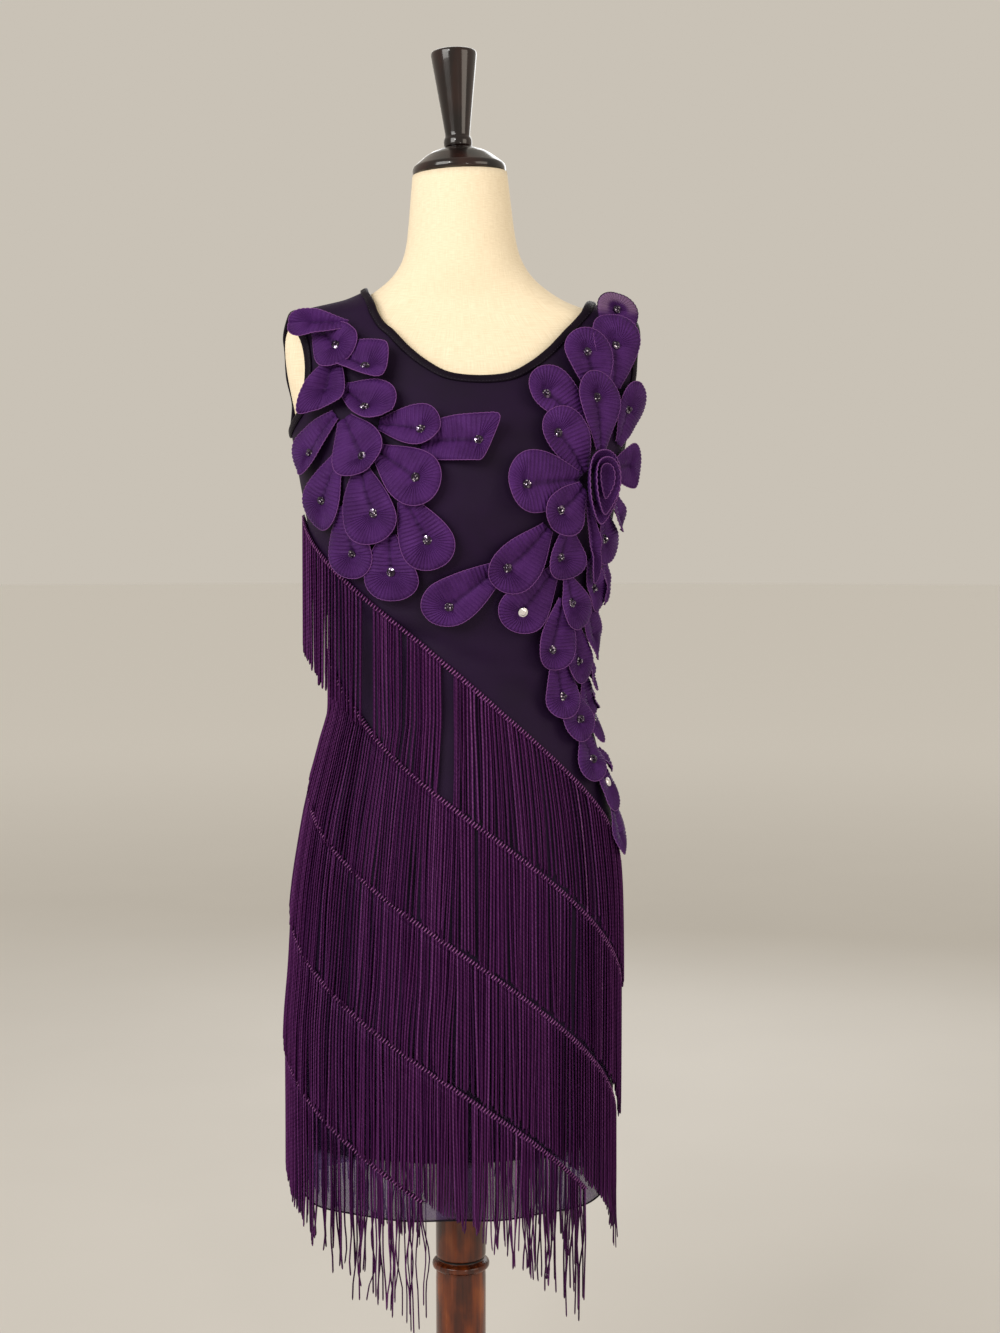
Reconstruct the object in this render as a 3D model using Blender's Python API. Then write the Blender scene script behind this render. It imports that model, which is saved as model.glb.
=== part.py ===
"""A fringed flapper dress on its limbless dress form and stand.

Metres, +Z up. The front faces -Y, and +X is the viewer's right. The origin is on the floor under the pole.
One surface, body(), carries everything: the form fills it, and each cloth piece is a wall at its own
distance outside it.
"""

import math

import bmesh
import bpy
import numpy as np

MM = 0.001

# The body surface at each height: half the width, the depth in front, the depth behind, and how far the
# middle is off the pole. Below the hips the cloth hangs free, and the rows give the skirt.
BODY = (
    # height, half width, front, back, shift
    (0.440, 0.160, 0.112, 0.114, -0.009),
    (0.560, 0.166, 0.111, 0.117, -0.009),
    (0.640, 0.168, 0.109, 0.120, -0.008),
    (0.700, 0.167, 0.106, 0.122, -0.005),
    (0.770, 0.165, 0.102, 0.122, -0.003),
    (0.850, 0.156, 0.096, 0.112, -0.001),
    (0.930, 0.138, 0.088, 0.094, 0.0),
    (0.978, 0.127, 0.084, 0.082, 0.0),
    (1.040, 0.130, 0.090, 0.080, 0.0),
    (1.100, 0.142, 0.106, 0.086, 0.0),
    (1.150, 0.152, 0.120, 0.092, 0.0),
    (1.190, 0.159, 0.125, 0.095, 0.0),
    (1.230, 0.166, 0.117, 0.096, 0.0),
    (1.275, 0.174, 0.100, 0.096, 0.0),
    (1.312, 0.182, 0.084, 0.090, 0.0),
    (1.345, 0.184, 0.068, 0.076, 0.0),
    (1.367, 0.172, 0.055, 0.062, 0.0),
    (1.383, 0.117, 0.050, 0.055, 0.003),
    (1.394, 0.094, 0.050, 0.054, 0.003),
    (1.407, 0.074, 0.050, 0.053, 0.003),
    (1.423, 0.062, 0.050, 0.052, 0.003),
    (1.442, 0.056, 0.049, 0.051, 0.002),
    (1.483, 0.052, 0.047, 0.049, 0.001),
    (1.530, 0.047, 0.045, 0.046, 0.0),
)
SKIN_STEPS = 12
SLOPE_STEP = 1e-6

# Walls, as distances outside the body surface.
DRESS_IN, DRESS_OUT = 2.5 * MM, 4.0 * MM
BINDING_IN, BINDING_OUT = 5.2 * MM, 6.6 * MM
HEADER_IN, HEADER_OUT = 5.6 * MM, 8.2 * MM
PETAL_LOW = 5.2 * MM
PETAL_WALL = 1.0 * MM
STACK_GAP = 0.7 * MM
SEAM_HALF_GAP = 0.2 * MM

# Dress panels.
HEM = 0.459
ARMPIT = 1.250
PANEL_HEIGHTS = (HEM, 0.520, 0.580, 0.640, 0.700, 0.770, 0.840, 0.910, 0.975, 1.035, 1.090, 1.140, 1.185,
                 1.225, ARMPIT)
PANEL_COLUMNS = 20
STRAP_COLUMNS = 4
YOKE_ROWS = 7
YOKE_CROWDING = 1.5
YOKE_SIDE_FADE = 4
HEM_WAVES = 5
HEM_WAVE_DEPTH = 6 * MM
HEM_WAVE_TOP = 0.530

# The lining shows only at its hem. Its top meets the panels under the form.
LINING_HEIGHTS = (0.5165, 0.580, 0.640, 0.690)
LINING_OUT = (-1.5 * MM, -0.5 * MM, 0.8 * MM, 2.1 * MM)
LINING_WALL = 1.3 * MM

# The neckline's edge: across from its own middle, and height. The scoop behind is a little higher.
NECK_MIDDLE = 0.019
NECK_SHOULDER = 0.112
NECK_FRONT = ((0.0, 1.301), (0.028, 1.304), (0.048, 1.314), (0.067, 1.329), (0.083, 1.346), (0.098, 1.362))
NECK_BACK = ((0.0, 1.331), (0.034, 1.334), (0.060, 1.343), (0.084, 1.357), (0.104, 1.370))

# The armholes' edges: across and height, up the front and up the back. The dress sits turned a little
# toward the viewer's right, so the left armhole opens to the front and the right one to the back.
ARMHOLE_BOTTOM = 1.254
LEFT_SHOULDER, RIGHT_SHOULDER = -0.172, 0.178
LEFT_FRONT = ((-0.158, 1.272), (-0.153, 1.296), (-0.153, 1.320), (-0.160, 1.345))
LEFT_BACK = ((-0.170, 1.280), (-0.176, 1.310), (-0.178, 1.340))
RIGHT_FRONT = ((0.168, 1.275), (0.175, 1.305), (0.178, 1.335))
RIGHT_BACK = ((0.158, 1.275), (0.154, 1.298), (0.155, 1.322), (0.164, 1.346))
BINDING_WIDTH = 8 * MM
EDGE_INSET = 1 * MM
NECK_POINTS, ARMHOLE_POINTS = 48, 28

# Five fringe rows wind down toward the viewer's right. t runs from -1 at the left seam to 1 at the right.
ROW_HEIGHTS = (1.005, 0.8685, 0.732, 0.5955, 0.459)
ROW_RISE, ROW_SAG = 0.183, 0.022
ROW_LOCKS = (36, 36, 36, 28, 16)
ROW_SEGMENTS = (2, 2, 2, 2, 1)
ROW_TURNS = (180.0, 180.0, 180.0, 145.0, 80.0)
HEADER_HALF = 3 * MM
LOCK_LENGTH = 0.1285
LOCK_SHARE = 0.84
LOCK_TIP_SHARE = 0.62
LOCK_OUT, LOCK_WALL = 8.2 * MM, 2.4 * MM

# Petals: root and tip across and up, in millimetres, the width, and how far the tip stands off. Past
# SIDE_TURN of the half width, across is measured round the side. Each list is in sewing order.
SIDE_TURN = 0.93
SHOULDER_HEIGHT = 1.325
LEFT_PETALS = (
    # name, root across, root height, tip across, tip height, width, lift
    ("l14", -68, 1148, -62, 1085, 54, 5),
    ("l13", -110, 1176, -98, 1106, 50, 5),
    ("l12", -52, 1182, -18, 1118, 52, 5),
    ("l11", -116, 1223, -134, 1155, 48, 5),
    ("l10", -94, 1212, -77, 1141, 58, 6),
    ("l08", -37, 1235, 30, 1235, 44, 9),
    ("l09", -79, 1227, -21, 1186, 50, 6),
    ("l07", -77, 1252, -18, 1246, 40, 8),
    ("l05", -118, 1265, -160, 1212, 44, 5),
    ("l06", -110, 1259, -85, 1208, 54, 6),
    ("l04", -113, 1288, -62, 1262, 44, 8),
    ("l03", -122, 1322, -142, 1264, 52, 6),
    ("l02", -128, 1325, -68, 1304, 40, 8),
    ("l01", -140, 1352, -106, 1316, 46, 7),
    ("l00", -108, 1350, -160, 1350, 32, 6),
)
RIGHT_PETALS = (
    ("r33", 154, 870, 170, 814, 36, 4),
    ("r32", 140, 910, 158, 860, 38, 5),
    ("r30", 120, 948, 130, 893, 40, 5),
    ("r28", 132, 978, 148, 929, 34, 5),
    ("r27", 124, 1003, 134, 957, 34, 5),
    ("r26", 104, 997, 116, 934, 38, 5),
    ("r25", 92, 1026, 99, 958, 38, 5),
    ("r23", 110, 1058, 114, 996, 34, 5),
    ("r22", 120, 1087, 143, 1020, 32, 5),
    ("r20", 124, 1124, 136, 1073, 32, 5),
    ("r16", 42, 1118, -33, 1070, 48, 7),
    ("r17", 90, 1112, 43, 1058, 52, 6),
    ("r18", 98, 1086, 86, 1012, 40, 6),
    ("r19", 101, 1106, 112, 1056, 34, 6),
    ("r15", 84, 1155, 32, 1099, 50, 7),
    ("r14", 102, 1154, 97, 1105, 42, 6),
    ("r12", 140, 1172, 142, 1120, 42, 6),
    ("r13", 120, 1186, 123, 1101, 20, 7),
    ("r00", 153, 1337, 157, 1388, 50, 0),
    ("r01", 149, 1293, 147, 1361, 50, 6),
    ("r02", 132, 1280, 117, 1345, 48, 6),
    ("r04", 154, 1238, 176, 1300, 42, 6),
    ("r05", 124, 1247, 69, 1302, 46, 7),
    ("r06", 120, 1206, 84, 1265, 48, 7),
    ("r03", 134, 1230, 127, 1305, 44, 7),
    ("r10", 150, 1214, 205, 1218, 50, 6),
    ("r07", 114, 1200, 43, 1196, 56, 8),
    ("r08", 115, 1194, 81, 1157, 46, 7),
)
# This one stands up flat above the shoulder.
STANDING_PETAL = "r00"
PETAL_ALONG = (0.0, 0.2, 0.45, 0.7, 0.9, 1.0)
PETAL_WIDTHS = (0.32, 0.62, 0.92, 1.0, 0.80, 0.38)
PETAL_SAMPLES_ALONG, PETAL_SAMPLES_ACROSS = 17, 13
STACK_REACH = 3.6 * MM

# The rosette is two cups, one in the other: share of its half size, and height above its own base.
ROSETTE_PLACE = (128, 1196)
ROSETTE_HALF_WIDTH, ROSETTE_HALF_HEIGHT = 19 * MM, 36 * MM
ROSETTE_RINGS = ((0.18, 6 * MM), (0.40, 9 * MM), (0.55, 4 * MM), (0.80, 8 * MM), (1.0, 5 * MM))
ROSETTE_SIDES = 14

# The form and its stand.
FORM_BOTTOM, FORM_TOP = 0.700, 1.5135
FORM_COLUMNS = 32
FORM_HEIGHTS = (0.708, 0.770, 0.840, 0.910, 0.975, 1.035, 1.090, 1.140, 1.185, 1.225, 1.262, 1.290, 1.315,
                1.337, 1.353, 1.364, 1.372, 1.379, 1.386, 1.394, 1.405, 1.420, 1.440, 1.475, FORM_TOP)
FORM_BOTTOM_SHARE = 0.96
FORM_INSET = 3 * MM
FORM_BARE_FROM, FORM_COVERED_TO = 1.408, 1.388
CAP_TILT = math.radians(2.7)
TILT_START = 1.440
TURNED_STEPS = 24
CAP_BASE = 1.5140
CAP_PROFILE = ((0.0, 0.0250), (0.0150, 0.0250), (0.0205, 0.0240), (0.0330, 0.0190), (0.0440, 0.0100),
               (0.0475, 0.0075), (0.0480, 0.0040), (0.0475, 0.0008), (0.0440, 0.0), (0.0, 0.0))
FINIAL_PROFILE = ((0.0, 0.1240), (0.0205, 0.1240), (0.0230, 0.1225), (0.0235, 0.1200), (0.0125, 0.0385),
                  (0.0128, 0.0375), (0.0143, 0.0350), (0.0146, 0.0318), (0.0143, 0.0285), (0.0130, 0.0257),
                  (0.0, 0.0257))
POLE_RADIUS = 0.0265
POLE_PROFILE = ((0.0, FORM_BOTTOM - 0.0003), (POLE_RADIUS, FORM_BOTTOM - 0.0003), (POLE_RADIUS, 0.3830),
                (0.0245, 0.3815), (0.0245, 0.3795), (0.0290, 0.3780), (0.0305, 0.3745), (0.0290, 0.3705),
                (POLE_RADIUS, 0.3690), (POLE_RADIUS, 0.0305), (0.0, 0.0305))
BASE_PROFILE = ((0.0, 0.0300), (0.0480, 0.0300), (0.0520, 0.0270), (0.0560, 0.0220), (0.1700, 0.0190),
                (0.1850, 0.0160), (0.1900, 0.0110), (0.1900, 0.0020), (0.1880, 0.0), (0.0, 0.0))


def material(name, colour, roughness, metallic=0.0):
    made = bpy.data.materials.new(name)
    made.use_nodes = True
    shader = made.node_tree.nodes["Principled BSDF"]
    shader.inputs["Base Color"].default_value = (*colour, 1.0)
    shader.inputs["Roughness"].default_value = roughness
    shader.inputs["Metallic"].default_value = metallic
    return made


def curve(table, at):
    """A smooth curve through the table's rows that never overshoots them, read at each height."""
    rows = np.array(table)
    heights, values = rows[:, 0], rows[:, 1:]
    steps = np.diff(heights)[:, None]
    rates = np.diff(values, axis=0) / steps
    product = rates[:-1] * rates[1:]
    total = rates[:-1] + rates[1:]
    inner = np.where(product > 0, 2 * product / np.where(product > 0, total, 1), 0)
    slopes = np.concatenate([rates[:1], inner, rates[-1:]])
    at = np.clip(np.asarray(at, float), heights[0], heights[-1])
    low = np.clip(np.searchsorted(heights, at) - 1, 0, len(steps) - 1)
    step = steps[low]
    s = (at[..., None] - heights[low][..., None]) / step
    return (
        (1 + 2 * s) * (1 - s) ** 2 * values[low]
        + s * (1 - s) ** 2 * step * slopes[low]
        + s**2 * (3 - 2 * s) * values[low + 1]
        + s**2 * (s - 1) * step * slopes[low + 1]
    )


def level(points):
    """How far outside the body each point is, as a share of the body's own radius there."""
    half, front, back, shift = curve(BODY, points[:, 2]).T
    depth = np.where(points[:, 1] < 0, front, back)
    return np.hypot((points[:, 0] - shift) / half, points[:, 1] / depth) - 1


def steepest(points):
    """The gradient of level()."""
    slopes = np.empty_like(points)
    for axis in range(3):
        step = np.zeros(3)
        step[axis] = SLOPE_STEP
        slopes[:, axis] = (level(points + step) - level(points - step)) / (2 * SLOPE_STEP)
    return slopes


def skin(points, out=0.0):
    """The points of the body surface nearest to these, moved outward by out."""
    points = np.array(points, float).reshape(-1, 3)
    for _ in range(SKIN_STEPS):
        slopes = steepest(points)
        points = points - (level(points) / (slopes**2).sum(axis=1))[:, None] * slopes
    slopes = steepest(points)
    normals = slopes / np.linalg.norm(slopes, axis=1)[:, None]
    return points + np.reshape(out, (-1, 1)) * normals


def body(turn, height, side):
    """The surface point at this turn in degrees, from -90 at the left seam to 90 at the right."""
    turn, height, side = np.broadcast_arrays(np.radians(turn), height, side)
    half, front, back, shift = np.moveaxis(curve(BODY, height), -1, 0)
    depth = np.where(side < 0, front, back)
    return np.stack([shift + half * np.sin(turn), side * depth * np.cos(turn), height], axis=-1)


def on_face(across, height, side):
    """The surface point seen at this place from the front (side -1) or from behind (side 1)."""
    half, front, back, shift = curve(BODY, height)
    share = min(1.0, abs(across - shift) / half)
    depth = front if side < 0 else back
    return skin((across, side * depth * math.sqrt(1 - share**2), height))[0]


def on_ridge(across):
    """The top of the shoulder at this distance across."""
    heights = np.linspace(1.345, 1.530, 400)
    widths = curve(BODY, heights)[:, 0]
    height = np.interp(-abs(across), -widths, heights)
    return np.array([across, 0.0, height])


def smooth_loop(points, count):
    """A closed smooth curve through the points, with count points evenly spaced along it, on the body."""
    points = np.array(points)
    fine = np.linspace(0, len(points), 40 * len(points), endpoint=False)
    index = fine.astype(int)
    s = (fine - index)[:, None]
    before, first, second, after = (points[(index + k) % len(points)] for k in (-1, 0, 1, 2))
    path = 0.5 * (
        2 * first
        + (second - before) * s
        + (2 * before - 5 * first + 4 * second - after) * s**2
        + (3 * first - before - 3 * second + after) * s**3
    )
    path = skin(path)
    return evenly(np.concatenate([path, path[:1]]), count + 1)[:-1]


def along_path(path, shares):
    """The points at these shares of an open path's length."""
    lengths = np.concatenate([[0], np.cumsum(np.linalg.norm(np.diff(path, axis=0), axis=1))])
    at = np.asarray(shares) * lengths[-1]
    return np.stack([np.interp(at, lengths, path[:, axis]) for axis in range(3)], axis=1)


def evenly(path, count):
    """count points evenly spaced along an open path."""
    return along_path(path, np.linspace(0, 1, count))


def yoke_shares():
    """The yoke's rows from armpit to shoulder, closer together where the shoulder turns over."""
    return 1 - (1 - np.linspace(0, 1, YOKE_ROWS + 1)) ** YOKE_CROWDING


def beside(loop, distance):
    """A closed loop moved over the body surface, away from the inside of the loop for a positive distance."""
    along = np.roll(loop, -1, axis=0) - np.roll(loop, 1, axis=0)
    normals = skin(loop, 1.0) - skin(loop)
    away = np.cross(along, normals)
    away /= np.linalg.norm(away, axis=1)[:, None]
    return skin(loop + distance * away)


def neck_loop():
    """The neckline's edge, from the front middle to the viewer's right and round."""
    front = [on_face(NECK_MIDDLE + across, height, -1) for across, height in NECK_FRONT]
    back = [on_face(NECK_MIDDLE + across, height, 1) for across, height in reversed(NECK_BACK)]
    left_back = [on_face(NECK_MIDDLE - across, height, 1) for across, height in NECK_BACK[1:]]
    left_front = [on_face(NECK_MIDDLE - across, height, -1) for across, height in reversed(NECK_FRONT[1:])]
    right_top = on_ridge(NECK_MIDDLE + NECK_SHOULDER)
    left_top = on_ridge(NECK_MIDDLE - NECK_SHOULDER)
    return smooth_loop([*front, right_top, *back, *left_back, left_top, *left_front], 8 * NECK_POINTS)


def armhole_loop(bottom_turn, front, back, shoulder):
    """An armhole's edge, from its bottom up the front, over the shoulder and down the back."""
    bottom = body(bottom_turn, ARMHOLE_BOTTOM, -1)
    rising = [on_face(across, height, -1) for across, height in front]
    falling = [on_face(across, height, 1) for across, height in reversed(back)]
    return smooth_loop([bottom, *rising, on_ridge(shoulder), *falling], 8 * ARMHOLE_POINTS)


def half_of(loop, side):
    """The part of a closed loop on one side of the side seams, as an open path that ends on them."""
    inside = loop[:, 1] * side > SEAM_HALF_GAP
    start = int(np.flatnonzero(inside & ~np.roll(inside, 1))[0])
    path = np.roll(loop, -start, axis=0)[: int(inside.sum())]
    return path


def on_seam(path, side):
    """The path with its two ends moved onto the panel's seams."""
    path = path.copy()
    path[[0, -1], 1] = side * SEAM_HALF_GAP
    return path


def split(face, points):
    """A quad as two triangles along its shorter diagonal."""
    if len(face) == 3:
        return [face]
    a, b, c, d = face
    if np.linalg.norm(points[a] - points[c]) <= np.linalg.norm(points[b] - points[d]):
        return [(a, b, c), (a, c, d)]
    return [(b, c, d), (b, d, a)]


def wall(name, outer, inner, faces, finish):
    """A closed cloth wall: the faces on the outer points, again on the inner ones, and a rim between.

    Both sides are split into the same triangles, so that a twisted face keeps its thickness."""
    count = len(outer)
    faces = [triangle for face in faces for triangle in split(face, outer)]
    edges = {(face[k], face[(k + 1) % len(face)]) for face in faces for k in range(len(face))}
    rim = [(b, a, a + count, b + count) for a, b in edges if (b, a) not in edges]
    back = [tuple(count + index for index in reversed(face)) for face in faces]
    mesh = bpy.data.meshes.new(name)
    mesh.from_pydata(np.concatenate([outer, inner]).tolist(), [], [*faces, *back, *sorted(rim)])
    made = bmesh.new()
    made.from_mesh(mesh)
    bmesh.ops.recalc_face_normals(made, faces=made.faces)
    made.to_mesh(mesh)
    made.free()
    mesh.shade_smooth()
    mesh.set_sharp_from_angle(angle=math.radians(50))
    mesh.materials.append(finish)
    piece = bpy.data.objects.new(name, mesh)
    bpy.context.collection.objects.link(piece)
    return piece


def grid_faces(rows, columns, closed=False):
    """Quads over a grid of points, row by row. A closed grid's last column joins its first."""
    wrap = columns if closed else columns + 1
    return [
        (row * wrap + k, row * wrap + (k + 1) % wrap, (row + 1) * wrap + (k + 1) % wrap, (row + 1) * wrap + k)
        for row in range(rows)
        for k in range(columns)
    ]


def hem_wave(turn, height):
    """How far the free hem curves inward at each turn."""
    fade = np.clip((HEM_WAVE_TOP - height) / (HEM_WAVE_TOP - HEM), 0, 1) ** 2
    return -HEM_WAVE_DEPTH * fade * (1 - np.cos(np.radians(turn + 90) * 2 * HEM_WAVES)) / 2


def panel(name, side, edges, finish):
    """A front or back panel: level rows up to the armpits, then a yoke fitted between the openings."""
    neck, left_hole, right_hole = edges
    turns = np.linspace(-90, 90, PANEL_COLUMNS + 1)
    heights = np.array(PANEL_HEIGHTS)[:, None]
    skirt = body(turns[None, :], heights, side)
    skirt[:, [0, -1], 1] = side * SEAM_HALF_GAP
    waves = hem_wave(turns[None, :], heights)

    left = rising(left_hole, side)
    right = rising(right_hole, side)
    left[0], right[0] = skirt[-1, 0], skirt[-1, -1]
    scoop = half_of(neck, side)
    scoop = scoop if scoop[0, 0] < scoop[-1, 0] else scoop[::-1]
    scoop = on_seam(evenly(scoop, PANEL_COLUMNS - 2 * STRAP_COLUMNS + 1), side)
    left_strap = np.linspace(left[-1], scoop[0], STRAP_COLUMNS + 1)
    right_strap = np.linspace(scoop[-1], right[-1], STRAP_COLUMNS + 1)
    top = np.concatenate([left_strap[:-1], scoop, right_strap[1:]])

    u = np.linspace(0, 1, PANEL_COLUMNS + 1)[None, :, None]
    v = yoke_shares()[:, None, None]
    bottom = skirt[-1]
    # The armholes bend the yoke's rows only near the sides, so that its middle still rises row by row.
    left_pull = left[:, None] - (1 - v) * bottom[0] - v * top[0]
    right_pull = right[:, None] - (1 - v) * bottom[-1] - v * top[-1]
    yoke = (
        (1 - v) * bottom[None]
        + v * top[None]
        + (1 - u) ** YOKE_SIDE_FADE * left_pull
        + u**YOKE_SIDE_FADE * right_pull
    )
    yoke[:, :, 1] = side * np.maximum(side * yoke[:, :, 1], SEAM_HALF_GAP)
    points = np.concatenate([skirt, yoke[1:]]).reshape(-1, 3)
    waves = np.concatenate([waves, np.zeros((YOKE_ROWS, PANEL_COLUMNS + 1))]).reshape(-1)
    faces = grid_faces(len(PANEL_HEIGHTS) - 1 + YOKE_ROWS, PANEL_COLUMNS)
    return wall(name, skin(points, DRESS_OUT + waves), skin(points, DRESS_IN + waves), faces, finish)


def rising(hole, side):
    """The armhole's edge on one side, from the side seam up to the shoulder seam."""
    path = half_of(hole, side)
    path = path if path[0, 2] < path[-1, 2] else path[::-1]
    return on_seam(along_path(path, yoke_shares()), side)


def lining(finish):
    """The short inner skirt, one tube."""
    turns = np.linspace(-180, 180, 2 * PANEL_COLUMNS, endpoint=False)
    side = np.where(np.abs(turns) <= 90, -1, 1)
    turns = np.where(np.abs(turns) <= 90, turns, np.sign(turns) * 180 - turns)
    points = body(turns[None, :], np.array(LINING_HEIGHTS)[:, None], side[None, :]).reshape(-1, 3)
    out = np.repeat(LINING_OUT, len(turns))
    faces = grid_faces(len(LINING_HEIGHTS) - 1, len(turns), closed=True)
    return wall("lining", skin(points, out), skin(points, out - LINING_WALL), faces, finish)


def binding(name, loop, count, finish):
    """Bias binding over an opening's edge: two loops of points, side by side."""
    loop = evenly(np.concatenate([loop, loop[:1]]), count + 1)[:-1]
    edge = np.concatenate([loop, beside(loop, BINDING_WIDTH)])
    faces = grid_faces(1, count, closed=True)
    wall(name, skin(edge, BINDING_OUT), skin(edge, BINDING_IN), faces, finish)
    return edge


def row_height(row, around):
    """A fringe row's height, where around runs from 0 at the left seam to 180 at the right seam."""
    t = np.abs(around) / 90 - 1
    return ROW_HEIGHTS[row] - ROW_RISE * t - ROW_SAG * t**2


def round_body(around, height):
    """The surface point at this turn from the left seam, positive over the front, negative behind."""
    return body(np.abs(around) - 90, height, np.where(around >= 0, -1, 1))


def lock_turns(row):
    """Where each lock starts and ends round the body, evenly spaced along the surface."""
    limit, locks = ROW_TURNS[row], ROW_LOCKS[row]
    dense = np.linspace(-limit, limit, 721)
    path = round_body(dense, np.full(dense.shape, ROW_HEIGHTS[row]))
    lengths = np.concatenate([[0], np.cumsum(np.linalg.norm(np.diff(path, axis=0), axis=1))])
    ends = np.linspace(0, lengths[-1], locks + 1)
    pitch = ends[1]
    starts = np.interp(ends[:-1] + pitch * (1 - LOCK_SHARE) / 2, lengths, dense)
    stops = np.interp(ends[1:] - pitch * (1 - LOCK_SHARE) / 2, lengths, dense)
    return starts, stops


def hanging(around, top, height, out):
    """A point of a strand below its header: straight down, or pushed out by the body above it."""
    half, front, back, shift = curve(BODY, np.linspace(height, top, 12)).T
    turn = np.radians(np.abs(around) - 90)
    across = shift + (half + out) * np.sin(turn)
    across = across.max() if turn > 0 else across.min()
    depth, side = (front, -1) if around >= 0 else (back, 1)
    return np.array([across, side * (depth.max() + out) * np.cos(turn), height])


def fringe_row(row, finish):
    """One row of fringe: a header strip, and the locks that hang from it."""
    starts, stops = lock_turns(row)
    turns = np.stack([starts, stops], axis=1).reshape(-1)
    heights = row_height(row, turns)
    count = len(turns)
    outer, inner = [], []
    for rise in (HEADER_HALF, -HEADER_HALF):
        points = round_body(turns, heights + rise)
        outer.extend(skin(points, HEADER_OUT))
        inner.extend(skin(points, HEADER_IN))
    closed = ROW_TURNS[row] == 180.0
    spans = count if closed else count - 1
    faces = [(count + k, count + (k + 1) % count, (k + 1) % count, k) for k in range(spans)]
    for lock in range(len(starts)):
        left, right = count + 2 * lock, count + 2 * lock + 1
        middle = (starts[lock] + stops[lock]) / 2
        for segment in range(1, ROW_SEGMENTS[row] + 1):
            share = segment / ROW_SEGMENTS[row]
            spread = 1 + (LOCK_TIP_SHARE - 1) * share
            pair = []
            for turn in (starts[lock], stops[lock]):
                at = middle + (turn - middle) * spread
                top = float(row_height(row, at)) - HEADER_HALF
                height = top - share * (LOCK_LENGTH - 2 * HEADER_HALF)
                pair.append(len(outer))
                outer.append(hanging(at, top, height, LOCK_OUT))
                inner.append(hanging(at, top, height, LOCK_OUT - LOCK_WALL))
            faces.append((pair[0], pair[1], right, left))
            left, right = pair
    return wall(f"fringe_row_{row + 1}", np.array(outer), np.array(inner), faces, finish)


def place(across, height):
    """The surface point of a petal's end. Past the turn of the side, across is measured round it."""
    half, front, _, shift = curve(BODY, height)
    reach = SIDE_TURN * half
    if abs(across - shift) <= reach or height > SHOULDER_HEIGHT:
        return on_face(across, height, -1)
    turn = math.degrees(math.asin(SIDE_TURN) + (abs(across - shift) - reach) / front)
    turn = math.copysign(turn, across)
    if abs(turn) <= 90:
        return body(turn, height, -1)
    return body(math.copysign(180, turn) - turn, height, 1)


def petal_points(root, tip, along, across):
    """Surface points of a petal at these shares of its length and distances across it."""
    middle = skin((root + tip) / 2)[0]
    normal = skin(middle, 1.0)[0] - middle
    axis = tip - root
    length = np.linalg.norm(axis)
    axis = axis - axis.dot(normal) * normal
    axis /= np.linalg.norm(axis)
    aside = np.cross(normal, axis)
    flat = middle + np.outer((np.asarray(along) - 0.5) * length, axis) + np.outer(across, aside)
    return skin(flat)


def standing_points(root, across_tip, height_tip, along, across, base):
    """Points of a flat petal that stands in the plane touching the body at its root, base outside it."""
    normal = skin(root, 1.0)[0] - root
    rise = (across_tip - root[0]) * normal[0] + (height_tip - root[2]) * normal[2]
    axis = np.array([across_tip, root[1] - rise / normal[1], height_tip]) - root
    aside = np.cross(normal, axis / np.linalg.norm(axis))
    return root + base * normal + np.outer(along, axis) + np.outer(across, aside)


def lift_at(along, lift):
    return lift * np.asarray(along)


def settle(points, low, laid):
    """The lowest base at which a piece with this underside clears all that is laid already."""
    base = PETAL_LOW
    for other, height in laid:
        near = np.linalg.norm(points[:, None] - other[None], axis=2) < STACK_REACH
        rows, columns = np.nonzero(near)
        if len(rows):
            base = max(base, float((height[columns] - low[rows]).max()) + STACK_GAP)
    return base


def petal(row, laid, finish):
    """One teardrop petal, low at its sewn root and lifting toward its round tip."""
    name, root_across, root_height, tip_across, tip_height, width, lift = row
    root = place(root_across * MM, root_height * MM)
    if name == STANDING_PETAL:
        return standing_petal(row, root, laid, finish)
    tip = place(tip_across * MM, tip_height * MM)
    widths = np.interp(np.linspace(0, 1, PETAL_SAMPLES_ALONG), PETAL_ALONG, PETAL_WIDTHS)
    shares = np.linspace(-0.5, 0.5, PETAL_SAMPLES_ACROSS)
    along = np.repeat(np.linspace(0, 1, PETAL_SAMPLES_ALONG), len(shares))
    across = (widths[:, None] * shares[None]).reshape(-1) * width * MM
    samples = petal_points(root, tip, along, across)
    low = lift_at(along, lift * MM)
    base = settle(samples, low, laid)
    laid.append((samples, base + low + PETAL_WALL))

    along = np.repeat(PETAL_ALONG, 3)
    across = np.outer(PETAL_WIDTHS, (-0.5, 0.0, 0.5)).reshape(-1) * width * MM
    points = petal_points(root, tip, along, across)
    out = base + lift_at(along, lift * MM)
    faces = grid_faces(len(PETAL_ALONG) - 1, 2)
    return wall(f"petal_{name}", skin(points, out + PETAL_WALL), skin(points, out), faces, finish)


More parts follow.
